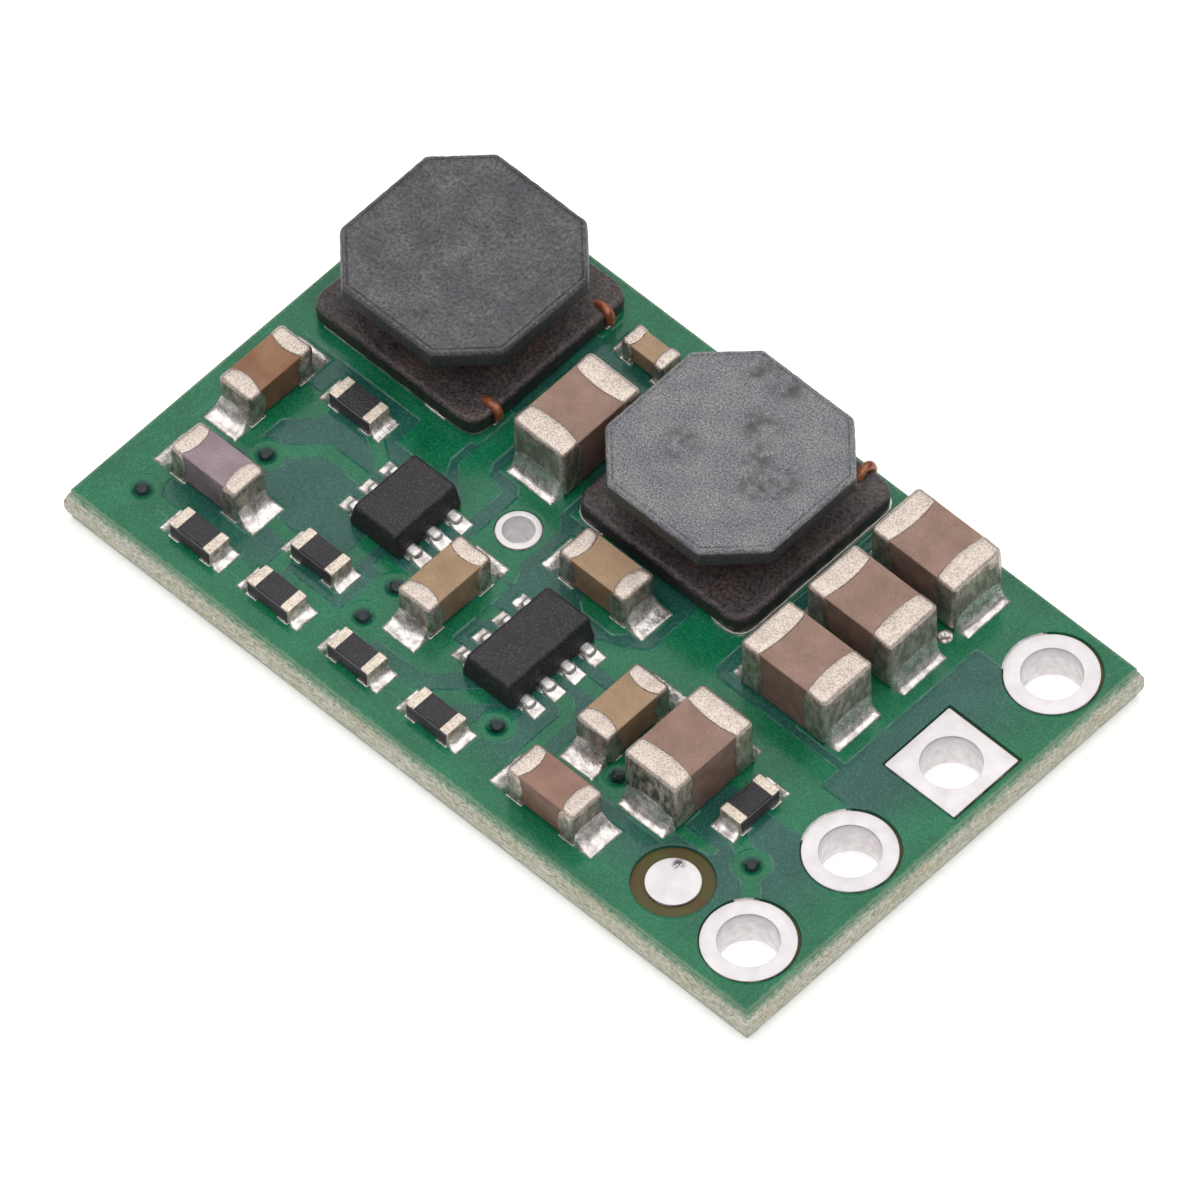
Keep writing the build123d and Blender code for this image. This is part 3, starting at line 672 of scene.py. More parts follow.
def end_cap_look(name, pale, dark, metallic=0.85):
    """Finely speckled metal of the end caps, with streaky painted shade on their upright faces that is
    strongest near one place.
    """
    look = Look(name, roughness=0.42, metallic=metallic)
    speck = look.noise(0.034, 4.0)
    cloud = look.noise(0.3, 3.0)
    bright = look.blend(cloud, dimmed(0.95, pale), pale)
    deep = look.blend(cloud, dimmed(0.9, dark), dark)
    metal = look.mix(look.step(speck, 0.34, 0.6, 1.0, 0.0), bright, deep)
    # Painted shade: upright faces get dark streaks, at full strength near one place on the board and at about
    # half strength elsewhere.
    side = look.step(look.attribute("rise"), 0.15, 0.75, 1.0, 0.0)
    near = look.step(look.gap(CAP_SHADE_CENTRE), 0.35, 1.1, 1.0, 0.55)
    streak = look.step(look.noise(0.12, 4.0, (1.0, 1.0, 2.2)), 0.36, 0.62)
    share = look.times(look.times(side, near), streak)
    look.colour(look.mix(share, metal, look.blend(speck, (38, 42, 36), (112, 110, 100))))
    look.relief(speck, 0.006, 0.8)
    look.relief(look.noise(0.2, 2.0), 0.02, 0.4)
    return look.material


def ceramic_look(name, first, second, grain=0.5):
    """Fired ceramic with a fine grain, and painted shade that darkens its upright sides."""
    look = Look(name, roughness=0.5, gloss=0.35)
    speck = look.noise(0.035, 3.0)
    base = look.mix(
        look.step(speck, 0.35, 0.7, 0.0, grain),
        look.blend(look.noise(0.5, 3.0), first, second),
        look.blend(look.noise(0.4, 2.0), dimmed(0.80, first), dimmed(0.84, second)),
    )
    # Painted shade: upright faces take a darker copy of the ceramic's colours.
    side = look.blend(look.noise(0.3, 3.0), dimmed(0.62, first), dimmed(0.74, second))
    look.colour(look.mix(look.step(look.attribute("rise"), 0.1, 0.6, 0.75, 0.0), base, side))
    look.relief(speck, 0.008, 0.7)
    return look.material


def black_look(name, first, second, roughness, grain=0.045):
    """Moulded black plastic or glass coat."""
    look = Look(name, roughness=roughness, gloss=0.45)
    speck = look.noise(grain, 3.0)
    pale = dimmed(1.8, second)
    cloud = look.blend(look.noise(0.3, 4.0), first, second)
    deep = look.blend(speck, dimmed(0.4, first), first)
    dull = look.mix(look.step(speck, 0.3, 0.46, 0.6, 0.0), cloud, deep)
    look.colour(look.mix(look.step(speck, 0.52, 0.68, 0.0, 0.85), dull, look.blend(speck, second, pale)))
    look.relief(speck, 0.014, 0.8)
    look.relief(look.noise(0.25, 2.0), 0.008, 0.4)
    return look.material


def ferrite_look(name, dark, pale, edge, gloss, grain, stains=()):
    """Pressed ferrite: finely speckled, with darker stains on its top, and painted shade that makes its side
    dark below the top edge.
    """
    look = Look(name, roughness=0.46, gloss=gloss)
    cloud = look.noise(0.55, 4.0)
    speck = look.noise(grain, 4.0)
    base = look.blend(cloud, dark, pale)
    light = look.blend(cloud, dimmed(1.5, dark), dimmed(1.4, pale))
    deep = look.blend(cloud, dimmed(0.4, dark), dimmed(0.5, pale))
    # Painted shade: near-black colour for the side below the top edge.
    side = look.blend(look.noise(0.1, 3.0), (22, 22, 22), (48, 47, 46))
    base = look.mix(look.step(speck, 0.5, 0.66, 0.0, 0.7), base, light)
    base = look.mix(look.step(speck, 0.34, 0.48, 0.8, 0.0), base, deep)
    blot = look.step(look.noise(0.7, 3.0), 0.55, 0.75, 0.0, 0.5)
    for stain in stains:
        blot = look.math("MAXIMUM", blot, look.step(look.gap((*stain, edge)), 0.1, 0.55, 1.0, 0.0))
    blot = look.times(blot, look.step(look.noise(0.24, 5.0), 0.36, 0.66, 0.0, 0.85))
    base = look.mix(blot, base, deep)
    # Painted shade: below the top edge the surface turns to the near-black side colour.
    look.colour(look.mix(look.step(look.level(), edge - 0.10, edge - 0.05, 0.93, 0.0), base, side))
    look.relief(speck, 0.016, 1.0)
    look.relief(look.noise(0.12, 3.0), 0.02, 0.5)
    return look.material


def wire_look():
    """Copper wire under its enamel."""
    look = Look("enamelled wire", roughness=0.3, metallic=0.35)
    stops = [(0.3, (122, 68, 48)), (0.55, (168, 100, 72)), (0.75, (204, 142, 110))]
    look.colour(look.ramp(look.noise(0.15, 3.0), stops))
    look.relief(look.noise(0.05, 2.0), 0.004, 0.6)
    return look.material


# Board

def copper_edges():
    """Edges of the copper as they are seen from above, as pairs of points."""
    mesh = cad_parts["copper_tracks"].data
    mesh.calc_loop_triangles()
    corners = np.round(np.array([tuple(v.co) for v in mesh.vertices]) / MM, 3)
    top = corners[:, 2].max()
    uses = {}
    for triangle in mesh.loop_triangles:
        points = [tuple(corners[i]) for i in triangle.vertices]
        if min(p[2] for p in points) < top - 0.01:
            continue
        for a, b in zip(points, points[1:] + points[:1]):
            key = tuple(sorted((a[:2], b[:2])))
            uses[key] = uses.get(key, 0) + 1
    return np.array([key for key, count in uses.items() if count == 1])


def distance_inside(places, edges):
    """How far each place lies inside the copper; it is negative outside."""
    nearest = np.full(len(places), FADE ** 2)
    inside = np.zeros(len(places), bool)
    for start, end in edges:
        along = end - start
        reach = along @ along
        if reach < 1e-9:
            continue
        crosses = (start[1] > places[:, 1]) != (end[1] > places[:, 1])
        if along[1]:
            inside ^= crosses & (places[:, 0] < start[0] + (places[:, 1] - start[1]) * along[0] / along[1])
        low = np.minimum(start, end) - FADE
        high = np.maximum(start, end) + FADE
        near = ((places >= low) & (places <= high)).all(1)
        local = places[near] - start
        share = np.clip(local @ along / reach, 0, 1)
        gap = local - share[:, None] * along
        nearest[near] = np.minimum(nearest[near], (gap ** 2).sum(1))
    return np.where(inside, 1, -1) * np.sqrt(nearest)


def board_sheet(cuts, level, up):
    """Grid over the board with rough round cuts, which rings cover later, and a skirt round its rim."""
    size = middle_and_size("solder_mask_top")[1]
    step = GRID_STEP if FINE else 2 * GRID_STEP
    columns = int(round(size[0] / step))
    rows = int(round(size[1] / step))
    xs = np.linspace(-size[0] / 2, size[0] / 2, columns + 1)
    ys = np.linspace(-size[1] / 2, size[1] / 2, rows + 1)
    x, y = np.meshgrid(xs, ys, indexing="ij")
    places = np.column_stack((x.ravel(), y.ravel()))
    cell_x, cell_y = np.meshgrid((xs[1:] + xs[:-1]) / 2, (ys[1:] + ys[:-1]) / 2, indexing="ij")
    keep = np.ones(cell_x.shape, bool)
    for (cut_x, cut_y), reach, square in cuts:
        if square:
            keep &= np.maximum(abs(cell_x - cut_x), abs(cell_y - cut_y)) > reach
        else:
            keep &= np.hypot(cell_x - cut_x, cell_y - cut_y) > reach
    index = np.arange(len(places)).reshape(columns + 1, rows + 1)
    rim, skirt = grid_skirt(index, len(places))
    faces = np.vstack((grid_cells(index)[keep], skirt))
    if not up:
        faces = faces[:, ::-1]
    drop = SKIRT_DROP if up else -UNDER_SKIRT
    points = np.vstack((at_height(places, level), at_height(places[rim], level - drop)))
    return points, [tuple(face) for face in faces.tolist()]


def shore_distance(places):
    """How far each place lies from the rim of the board."""
    size = middle_and_size("solder_mask_top")[1]
    return (size[:2] / 2 - np.abs(places)).min(1)


def lip(inner, outer, square):
    """Rounded edge of the mask round an opening."""
    bend = LIP_ROUNDING
    profile = [
        (outer, LIP_FOOT), (outer, LIP_TOP - 0.001), (inner + bend, LIP_TOP),
        (inner + bend / 3, LIP_TOP - bend / 3), (inner, LIP_TOP - bend), (inner, LIP_FOOT),
    ]
    if not square:
        return turned(profile)
    rings = []
    for reach, height in profile:
        rings.append(at_height(outline(rectangle(reach, reach), reach * 0.03, 0, 4, 6), height))
    return skin(rings, capped=False, looped=True)


def terminal_holes():
    """Number, middle and half width of each terminal hole, and whether its ring is square."""
    for n in range(1, 5):
        middle, size = middle_and_size(f"terminal_hole_{n}")
        yield n, middle, size[0] / 2, n == SQUARE_RING


def mask_openings():
    """Place of each opening in the top mask, reach of its lip and its rough cut, and whether it is square."""
    openings = []
    for _, middle, half, square in terminal_holes():
        reach = SQUARE_HALF if square else half
        place = middle[:2] + (0, OPENING_SHIFT)
        openings.append((place, reach + np.array(TERMINAL_OPENING), square))
    middle, size = middle_and_size("small_hole")
    openings.append((middle[:2], size[0] / 2 + np.array(SMALL_OPENING), False))
    middle, _ = middle_and_size("fiducial_dot")
    openings.append((middle[:2], DOT_OPENING, False))
    return openings


def build_mask(look):
    """Mask on the top, with the lips of its openings and the tented vias."""
    cuts = []
    lips = []
    for place, (inner, outer, cut), square in mask_openings():
        cuts.append((place, cut, square))
        lips.append(moved(lip(inner, outer, square), place))
    for via in TENTED_VIAS:
        cuts.append((via, VIA_RADIUS - VIA_OVERLAP, False))
        lips.append(moved(tented_via(), via))
    shape = join([board_sheet(cuts, MASK_TOP, True), *lips])
    places = shape[0][:, :2]
    inside = distance_inside(places, copper_edges())
    for via in TENTED_VIAS:
        inside = np.maximum(inside, VIA_RADIUS - np.hypot(*(places - via).T))
    mesh = piece("mask_top", shape, look, ["solder_mask_top"])
    give_numbers(mesh, "edge", inside)
    give_numbers(mesh, "shore", shore_distance(places))


def build_via_hollows(look):
    """Hollows in the middle of the vias under the mask."""
    shape = join([via_hollow(via) for via in TENTED_VIAS])
    gaps = [np.hypot(*(shape[0][:, :2] - via).T) for via in TENTED_VIAS]
    mesh = piece("via_hollows", shape, look)
    give_numbers(mesh, "reach", np.min(gaps, axis=0) / VIA_DIMPLE)


def tented_via():
    """Raised ring of mask round a via."""
    rim, dimple, top = VIA_RADIUS, VIA_DIMPLE, MASK_TOP
    profile = [
        (dimple - 0.01, top - 0.020), (dimple, top - 0.006), (dimple + 0.03, top + 0.006),
        (rim - 0.07, top + 0.010), (rim - 0.03, top + 0.008), (rim, top + 0.002), (rim + 0.03, top - 0.004),
    ]
    return turned(profile, VIA_STEPS, looped=False, capped=False)


def via_hollow(place):
    """Hollow in the middle of a via."""
    profile = [(VIA_DIMPLE, MASK_TOP - 0.004)]
    for share in (0.9, 0.75, 0.6, 0.45, 0.3, 0.15, 0.03):
        profile.append((VIA_DIMPLE * share, MASK_TOP - HOLLOW_DEPTH + HOLLOW_SAG * share ** 2))
    return moved(turned(profile, VIA_STEPS, looped=False, first=False), place)


def build_under_mask(look):
    """Mask on the underside, open round the terminal rings."""
    cuts = [(middle[:2], half + UNDER_GAP, square) for _, middle, half, square in terminal_holes()]
    middle, size = middle_and_size("small_hole")
    cuts.append((middle[:2], size[0] / 2 + UNDER_SMALL_GAP, False))
    shape = board_sheet(cuts, UNDER_LEVEL, False)
    mesh = piece("mask_under", shape, look, ["solder_mask_bottom"])
    give_numbers(mesh, "edge", np.full(len(shape[0]), FADE))
    give_numbers(mesh, "shore", shore_distance(shape[0][:, :2]))


def build_board_edge(look):
    """Broken rim of the board, over the four sides of the bare board."""
    middle, size = middle_and_size("circuit_board")
    low = middle[2] - size[2] / 2
    mask_size = middle_and_size("solder_mask_top")[1]
    proud = (size[0] - mask_size[0]) / 2
    side_parts = int(size[0] / (EDGE_STEP if FINE else 3 * EDGE_STEP))
    corners = rectangle(*(mask_size[:2] / 2))
    base = outline(corners, RIM_CORNER, 0, 5, side_parts)
    outward = outline(corners, RIM_CORNER, -1, 5, side_parts) - base
    outward /= np.abs(outward).max(1)[:, None]
    rings = []
    shares = []
    for n in range(EDGE_ROWS + 1):
        share = n / EDGE_ROWS
        ring = at_height(base, low + share * size[2])
        slope = min(share / EDGE_SLOPE, (1 - share) / EDGE_SLOPE, 1)
        fade = min(1, 5 * share, 5 * (1 - share))
        torn = sum(part * ripple(ring, wave, seed) for part, wave, seed in TORN_WAVES)
        reach = proud * slope + EDGE_OUT + TORN_DEPTH * (1 + np.clip(torn, -1, 1)) * fade
        ring[:, :2] += outward * reach[:, None]
        rings.append(ring)
        shares += [share] * len(ring)
    mesh = piece("board_rim", skin(rings, capped=False), look, crease=180)
    give_numbers(mesh, "height", shares)


def ring_profile(bore, reach):
    """Side view of a plated hole with a ring at each end, and a fine groove below its mouth."""
    high, bend = RING_HIGH, RING_BEND
    low_foot, high_foot = RING_FEET
    barrel = bore + BARREL_WALL
    return [
        (bore + 0.008, bend), (bore + bend, 0), (reach - 0.01, 0), (reach, 0.01), (reach, low_foot),
        (barrel, low_foot), (barrel, high_foot), (reach, high_foot), (reach, high - 1.4 * bend),
        (reach - 0.3 * bend, high - 0.5 * bend), (reach - bend, high - 0.004), (bore + 0.05, high),
        (bore + 0.010, high - 0.008), (bore + 0.002, high - 0.030), (bore + 0.014, high - 0.036),
        (bore + 0.014, high - 0.050), (bore, high - 0.056), (bore, 2 * bend),
    ]


def square_ring(bore, reach):
    """Plated hole with a square pad at each end."""
    rings = []
    for radius, height in ring_profile(bore, reach):
        square = outline(rectangle(radius, radius), 0.03, 0, 4, 14)
        angles = np.arctan2(square[:, 1], square[:, 0])
        circle = radius * np.column_stack((np.cos(angles), np.sin(angles)))
        share = np.clip((radius - bore - 0.07) / (reach - bore - 0.1), 0, 1)
        rings.append(at_height(circle * (1 - share) + square * share, height))
    return skin(rings, capped=False, looped=True)


def exposed_copper(reach, start, end):
    """Copper round a part of a ring, as far as the mask's opening leaves it bare."""
    foot, outer_top, inner_top = EXPOSED_LEVELS
    inner, outer = reach - 0.03, reach + 0.05
    section = [(inner, foot), (outer, foot), (outer, outer_top), (inner, inner_top)]
    rings = []
    for degrees in range(start, end + 1):
        a = math.radians(degrees)
        rings.append(np.array([(r * math.cos(a), r * math.sin(a), z) for r, z in section]))
    return skin(rings)


def build_holes(look, dot_look):
    """Terminal holes, the small hole and the dot for the placing machine."""
    for n, middle, half, square in terminal_holes():
        if square:
            shape = square_ring(BORE, SQUARE_HALF)
        else:
            ring = turned(ring_profile(BORE, half), TERMINAL_STEPS)
            shape = join([ring, exposed_copper(half, *EXPOSED[n])])
        piece(f"terminal_ring_{n}", moved(shape, middle), look, [f"terminal_hole_{n}"])
    middle, size = middle_and_size("small_hole")
    shape = turned(ring_profile(SMALL_BORE, size[0] / 2), SMALL_STEPS)
    piece("small_ring", moved(shape, middle), look, ["small_hole"])
    middle, size = middle_and_size("fiducial_dot")
    low = middle[2] - size[2] / 2
    high = low + DOT_THICKNESS
    reach = size[0] / 2
    profile = [
        (reach, low), (reach, high - 0.02), (reach - 0.008, high - 0.008), (reach - 0.03, high - 0.002),
        (reach - 0.10, high), (reach * 0.5, high), (0.02, high),
    ]
    shape = turned(profile, looped=False)
    piece("round_dot", moved(shape, middle), dot_look, ["fiducial_dot"])


def build_filled_via(look):
    """Via that solder fills."""
    profile = [(0.15, 0.78), (0.145, 0.81), (0.11, 0.84), (0.07, 0.835), (0.03, 0.815), (0.01, 0.81)]
    shape = turned(profile, 32, looped=False)
    piece("filled_via", moved(shape, FILLED_VIA), look, rough=(0.01, 0.08, 5))


# Parts on the board

def end_band(length, width, height, band, bulge, edge):
    """Metal cap on the +X end of a chip part: its inner edge bulges towards the middle of each face."""
    corners = [(-width / 2, 0), (width / 2, 0), (width / 2, height), (-width / 2, height)]

    def ring(x, inset=0):
        """Outline of the cap at X, moved inwards."""
        flat = outline(corners, edge, inset, 5, 8)
        return np.column_stack((np.broadcast_to(x, len(flat)), flat))

    outer = ring(0)
    across = np.abs(outer[:, 1]) / (width / 2)
    upright = np.abs(outer[:, 2] - height / 2) / (height / 2)
    start = length / 2 - band - bulge * (0.6 - np.minimum(across, upright) ** 2)
    rings = [ring(start + ahead, inset) for ahead, inset in BAND_LIP]
    straight_end = length / 2 - edge
    for share in (0.35, 0.7):
        rings.append(ring((start + 0.035) * (1 - share) + straight_end * share))
    for k in range(7):
        a = math.radians(15 * k)
        rings.append(ring(straight_end + edge * math.sin(a), edge * (1 - math.cos(a))))
    for extra in (0.03, 0.10):
        rings.append(ring(length / 2 + 0.002, edge + extra))
    return skin(rings)


def solder_ramp(end, toe, half_part, half_pad, climb, seed, bed):
    """Solder on a pad past the +X end of a part: a thin sheet that sweeps up the end."""
    count = RAMP_PARTS + 1
    across = np.linspace(-1, 1, count)
    across = np.sign(across) * np.abs(across) ** 0.8
    rows = []
    for share in np.linspace(0, 1, count) ** 1.15:
        half = half_part + (half_pad - half_part) * min(1, share * 2.5)
        x = np.full(count, end - RAMP_OVERLAP + (toe + RAMP_OVERLAP) * share)
        y = across * half
        gap = np.minimum((1 - share) * toe, half - np.abs(y))
        rounding = np.sqrt(np.clip(1 - (1 - np.clip(gap / RAMP_RIM, 0, 1)) ** 2, 0, 1))
        rise = climb * (1 - share) ** 3.2 * (1 - 0.45 * np.abs(across) ** 3)
        lumps = RAMP_LUMPS * ripple(np.column_stack((x, y, np.zeros(count))), 0.16, seed) * rounding
        z = RAMP_FOOT + SOLDER_LIP * rounding + rise * np.clip(rounding + 0.2, 0, 1) + lumps
        rows.append(np.column_stack((x, y, z)))
    top = np.vstack(rows)
    index = np.arange(len(top)).reshape(count, count)
    rim, skirt = grid_skirt(index.T, len(top))
    faces = np.vstack((grid_cells(index).reshape(-1, 4), skirt[:, ::-1])).tolist()
    sheet = np.vstack((top, at_height(top[rim, :2], 0))), faces
    under = soft_block(bed / 2, half_pad, 0, 0.032, 0.02, 0.01)
    return join([sheet, moved(under, (end - bed / 2, 0))])


def both_ends(shape):
    """A shape and the same shape turned round, for the two ends of a part."""
    return join([shape, moved(shape, turn=180)])


def long_way(size):
    """Turn of a part from its box: 0 along X or 90 along Y."""
    return 0 if size[0] > size[1] else 90


def build_capacitors(ceramics, cap_look, solder):
    """The twelve chip capacitors with their solder."""
    joints = []
    for n, kind in CERAMICS.items():
        middle, size = middle_and_size(f"capacitor_{n}_end_caps")
        turn = long_way(size)
        length, width, height = max(size[:2]), min(size[:2]), size[2]
        band, toe, side, edge, bulge = CASES[round(length, 1)]
        seat = middle[2] - height / 2
        half_x, half_y = length / 2 - BODY_SHORTER, width / 2 - BAND_PLATING
        body = soft_block(half_x, half_y, 0.03, height - BAND_PLATING, 0.03, 0.03, 0.03)
        piece(
            f"capacitor_{n}_ceramic", moved(body, middle, seat, turn), ceramics[kind],
            [f"capacitor_{n}_body"],
        )
        caps = both_ends(end_band(length, width, height, band, bulge, edge))
        piece(
            f"capacitor_{n}_bands", moved(caps, middle, seat, turn), cap_look,
            [f"capacitor_{n}_end_caps"], rough=(0.006, 0.25, 100 + n),
        )
        for way in (0, 180):
            ramp = solder_ramp(
                length / 2, toe, width / 2 - 0.02, width / 2 + side, height * 0.42, 10 * n + way,
                band + BED_OVERLAP,
            )
            joints.append(moved(ramp, middle, seat - SOLDER_BED, turn + way))
    piece("capacitor_solder", join(joints), solder, ["solder_at_capacitors"], crease=60)


def build_resistors(body_look, coat_look, strip_look, solder):
    """The seven chip resistors with their solder."""
    half_x, half_y, high = RESISTOR_LENGTH / 2, RESISTOR_WIDTH / 2, RESISTOR_HEIGHT
    body = soft_block(half_x - 0.02, half_y, 0.02, high - 0.02, 0.02, 0.015)
    coat = soft_block(half_x - STRIP_WIDTH + 0.02, half_y - 0.025, high - 0.03, high + 0.008, 0.03, 0.02)
    top = soft_block(STRIP_WIDTH / 2, half_y - 0.005, high - 0.03, high + 0.014, 0.03, 0.02)
    end = soft_block(0.02, half_y - 0.005, 0, high, 0.015, 0.015)
    strip = join([moved(top, (half_x - STRIP_WIDTH / 2, 0)), moved(end, (half_x - 0.018, 0))])
    coats, strips, joints = [], [], []
    for n in range(1, 8):
        middle, size = middle_and_size(f"resistor_{n}_body")
        turn = long_way(size)
        piece(
            f"resistor_{n}_slab", moved(body, middle, SEAT, turn), body_look,
            [f"resistor_{n}_body"],
        )
        coats.append(moved(coat, middle, SEAT, turn))
        strips.append(moved(both_ends(strip), middle, SEAT, turn))
        for way in (0, 180):
            ramp = solder_ramp(
                half_x, RESISTOR_TOE, half_y - 0.01, half_y + 0.04, high * 0.55, 300 + n + way,
                STRIP_WIDTH + BED_OVERLAP,
            )
            joints.append(moved(ramp, middle, SEAT - SOLDER_BED, turn + way))
    piece("resistor_coats", join(coats), coat_look, ["resistor_overcoats"])
    strips = join(strips)
    piece("resistor_strips", strips, strip_look, ["resistor_end_caps"], rough=(0.004, 0.15, 9))
    piece("resistor_solder", join(joints), solder, ["solder_at_resistors"], crease=60)


def chip_block(half_x, half_y):
    """Moulded body: upright at its foot and sloping in above its leads."""
    low, shoulder, high = CHIP_HEIGHTS
    near_top = high - CHIP_EDGE
    share = (near_top - shoulder) / (high - shoulder)

    def corners(slope):
        """Corners of the body where its sides have come in by a share of their slope."""
        return rectangle(half_x - CHIP_SLOPE[0] * slope, half_y - CHIP_SLOPE[1] * slope)

    levels = [(low, rectangle(half_x - 0.02, half_y - 0.02), 0), (low + 0.03, corners(0), 0)]
    levels.append((shoulder, corners(0), 0))
    for k in (0.33, 0.66, 1.0):
        levels.append((shoulder + (near_top - shoulder) * k, corners(share * k), 0))
    for k in range(1, 6):
        a = math.radians(18 * k)
        slope = share + (1 - share) * math.sin(a)
        levels.append((near_top + CHIP_EDGE * math.sin(a), corners(slope), CHIP_EDGE * (1 - math.cos(a))))
    levels.append((high, corners(1), CHIP_EDGE + 0.03))
    return raised(levels, CHIP_CORNER, 5, 6)


def build_chips(resin, metal, solder):
    """The two moulded chips with their leads and solder."""
    lead = moved(soft_block(*LEAD_BLOCK), (LEAD_MIDDLE, 0))
    joints = []
    for name, count in CHIP_LEADS.items():
        middle, size = middle_and_size(name + "_body")
        body = moved(chip_block(size[0] / 2, size[1] / 2), middle, SEAT)
        piece(name + "_moulding", body, resin, [name + "_body"], rough=(0.004, 0.2, 77))
        leads = []
        for way in (0, 180):
            for n in range(count):
                row = (0, (n - (count - 1) / 2) * LEAD_PITCH)
                leads.append(moved(moved(lead, row), middle, SEAT, way))
                ramp = solder_ramp(*LEAD_SOLDER, 500 + 10 * n + way, LEAD_BED)
                joints.append(moved(moved(ramp, row), middle, SEAT - SOLDER_BED, way))
        piece(name + "_pins", join(leads), metal, [name + "_leads"], rough=(0.004, 0.1, 21))
    piece("chip_solder", join(joints), solder, ["solder_at_chips"], crease=60)


def flange_corners(half, cut):
    """Corners of a square with its four corners cut off."""
    near = half - cut
    return [
        (-near, -half), (near, -half), (half, -near), (half, near),
        (near, half), (-near, half), (-half, near), (-half, -near),
    ]


def block_between(low, high, foot, top, corners, radius, arc_steps):
    """Solid from its outline and its section."""
    levels = [(low + rise, corners, inset) for rise, inset in foot]
    levels += [(high - depth, corners, inset) for depth, inset in top]
    return raised(levels, radius, arc_steps, 24 if FINE else 6)


def core_place(name):
    """Middle and size of a coil's core, nudged to where the photograph shows it."""
    middle, size = middle_and_size(name + "_core")
    return middle + (*COIL_NUDGE[name], 0), size


def build_coil(name, turn, top_look, base_look, wire, metal):
    """Coil: a ferrite drum with its winding, wire ends and terminals."""
    middle, size = core_place(name)
    foot = middle[2] - size[2] / 2
    high = middle[2] + size[2] / 2
    low = high - FLANGE_THICKNESS
    base_top = foot + BASE_THICKNESS
    half = size[0] / 2
    drum = (middle[0], middle[1] - BASE_SHIFT)
    flange = block_between(
        low, high, FLANGE_FOOT, FLANGE_TOP, flange_corners(FLANGE_HALF, FLANGE_CUT), FLANGE_CORNER, 4,
    )
    piece(
        name + "_flange", moved(flange, drum, 0, turn), top_look, [name + "_core"],
        rough=(0.004, 0.12, 55 + turn),
    )
    base = block_between(foot, base_top, BASE_FOOT, BASE_TOP, rectangle(half, half), BASE_CORNER, 6)
    column = turned([(COLUMN_RADIUS, foot + 0.1), (COLUMN_RADIUS, low + 0.05)], COLUMN_STEPS, looped=False)
    lower = join([moved(base, middle, 0, turn), moved(column, drum)])
    piece(name + "_base", lower, base_look, [name + "_core"], rough=(0.007, 0.14, 65 + turn))
    side = half + BASE_SHIFT * math.sin(math.radians(turn))
    build_winding(name, drum, side, turn, base_top, low, wire)
    build_coil_terminals(name, middle, side, turn, metal)


def build_winding(name, drum, side, turn, low, high, wire):
    """Turns of wire between the flanges, and the two ends that bend over the base."""
    pitch = (high - low) / WINDING_TURNS
    wire_radius = pitch / 2
    reach = WINDING_RADIUS - wire_radius
    steps = TURN_STEPS * (WINDING_TURNS - 1)
    turns = []
    for k in range(steps + 1):
        a = 2 * math.pi * k / TURN_STEPS
        height = low + wire_radius + (high - low - pitch) * k / steps
        turns.append((reach * math.cos(a), reach * math.sin(a), height))
    inner_radius = reach - 0.02
    inner = turned([(inner_radius, low + 0.001), (inner_radius, high - 0.001)], COLUMN_STEPS, looped=False)
    parts = [tube(turns, wire_radius * WIRE_SHARE), inner]
    lift = WIRE_LIFT[name]
    for across, start in WIRE_EXITS:
        inside = (WINDING_RADIUS ** 2 - start ** 2) ** 0.5 - WIRE_RADIUS
        points = [
            (inside, start, low - 0.08), ((inside + side) / 2, (start + across) / 2, low - 0.13 + lift),
            (side - 0.36, across * 0.98, low - 0.10 + lift), (side - 0.16, across, low + 0.005 + lift),
            (side - 0.02, across, low - 0.03 + lift), (side + 0.05, across, low - 0.14 + 0.6 * lift),
            (side + 0.04, across, low - 0.26),
        ]
        parts.append(tube(curve(points), WIRE_RADIUS))
    shape = moved(join(parts), drum, 0, turn)
    piece(name + "_wire", shape, wire, [name + "_winding"])


def under_ends(name, turn, middle, level, reach, high, edge):
    """Flat blocks under the two ends of a coil's base: its metal strips or the solder below them."""
    half = STRIP_HALF + STRIP_PROUD[name]
    block = soft_block(half, reach, 0, high, BASE_CORNER, edge)
    return [moved(moved(block, (0, end * (half - reach))), middle, level, turn) for end in (-1, 1)]


def build_coil_terminals(name, middle, side, turn, metal):
    """Metal strips under the two ends of the base, and tabs under the wire ends."""
    strips = under_ends(name, turn, middle, SEAT, *STRIP_BLOCK)
    for across, _ in WIRE_EXITS:
        tab = moved(soft_block(*TAB_BLOCK), (side - TAB_BACK, across))
        strips.append(moved(tab, middle - (0, BASE_SHIFT, 0), SEAT, turn))
    piece(name + "_strips", join(strips), metal, [name + "_terminals"])


def build_coil_solder(look):
    """Solder under the coils, and a sliver of it beside the rim of one."""
    beds = []
    for name, turn in COIL_TURNS.items():
        beds += under_ends(name, turn, core_place(name)[0], SEAT - SOLDER_BED, *BED_BLOCK)
    beds.append(moved(soft_block(*SLIVER_BLOCK), SLIVER, SEAT - SOLDER_BED))
    piece("coil_solder", join(beds), look, ["solder_at_coils"], rough=(0.008, 0.15, 44))


# Surroundings

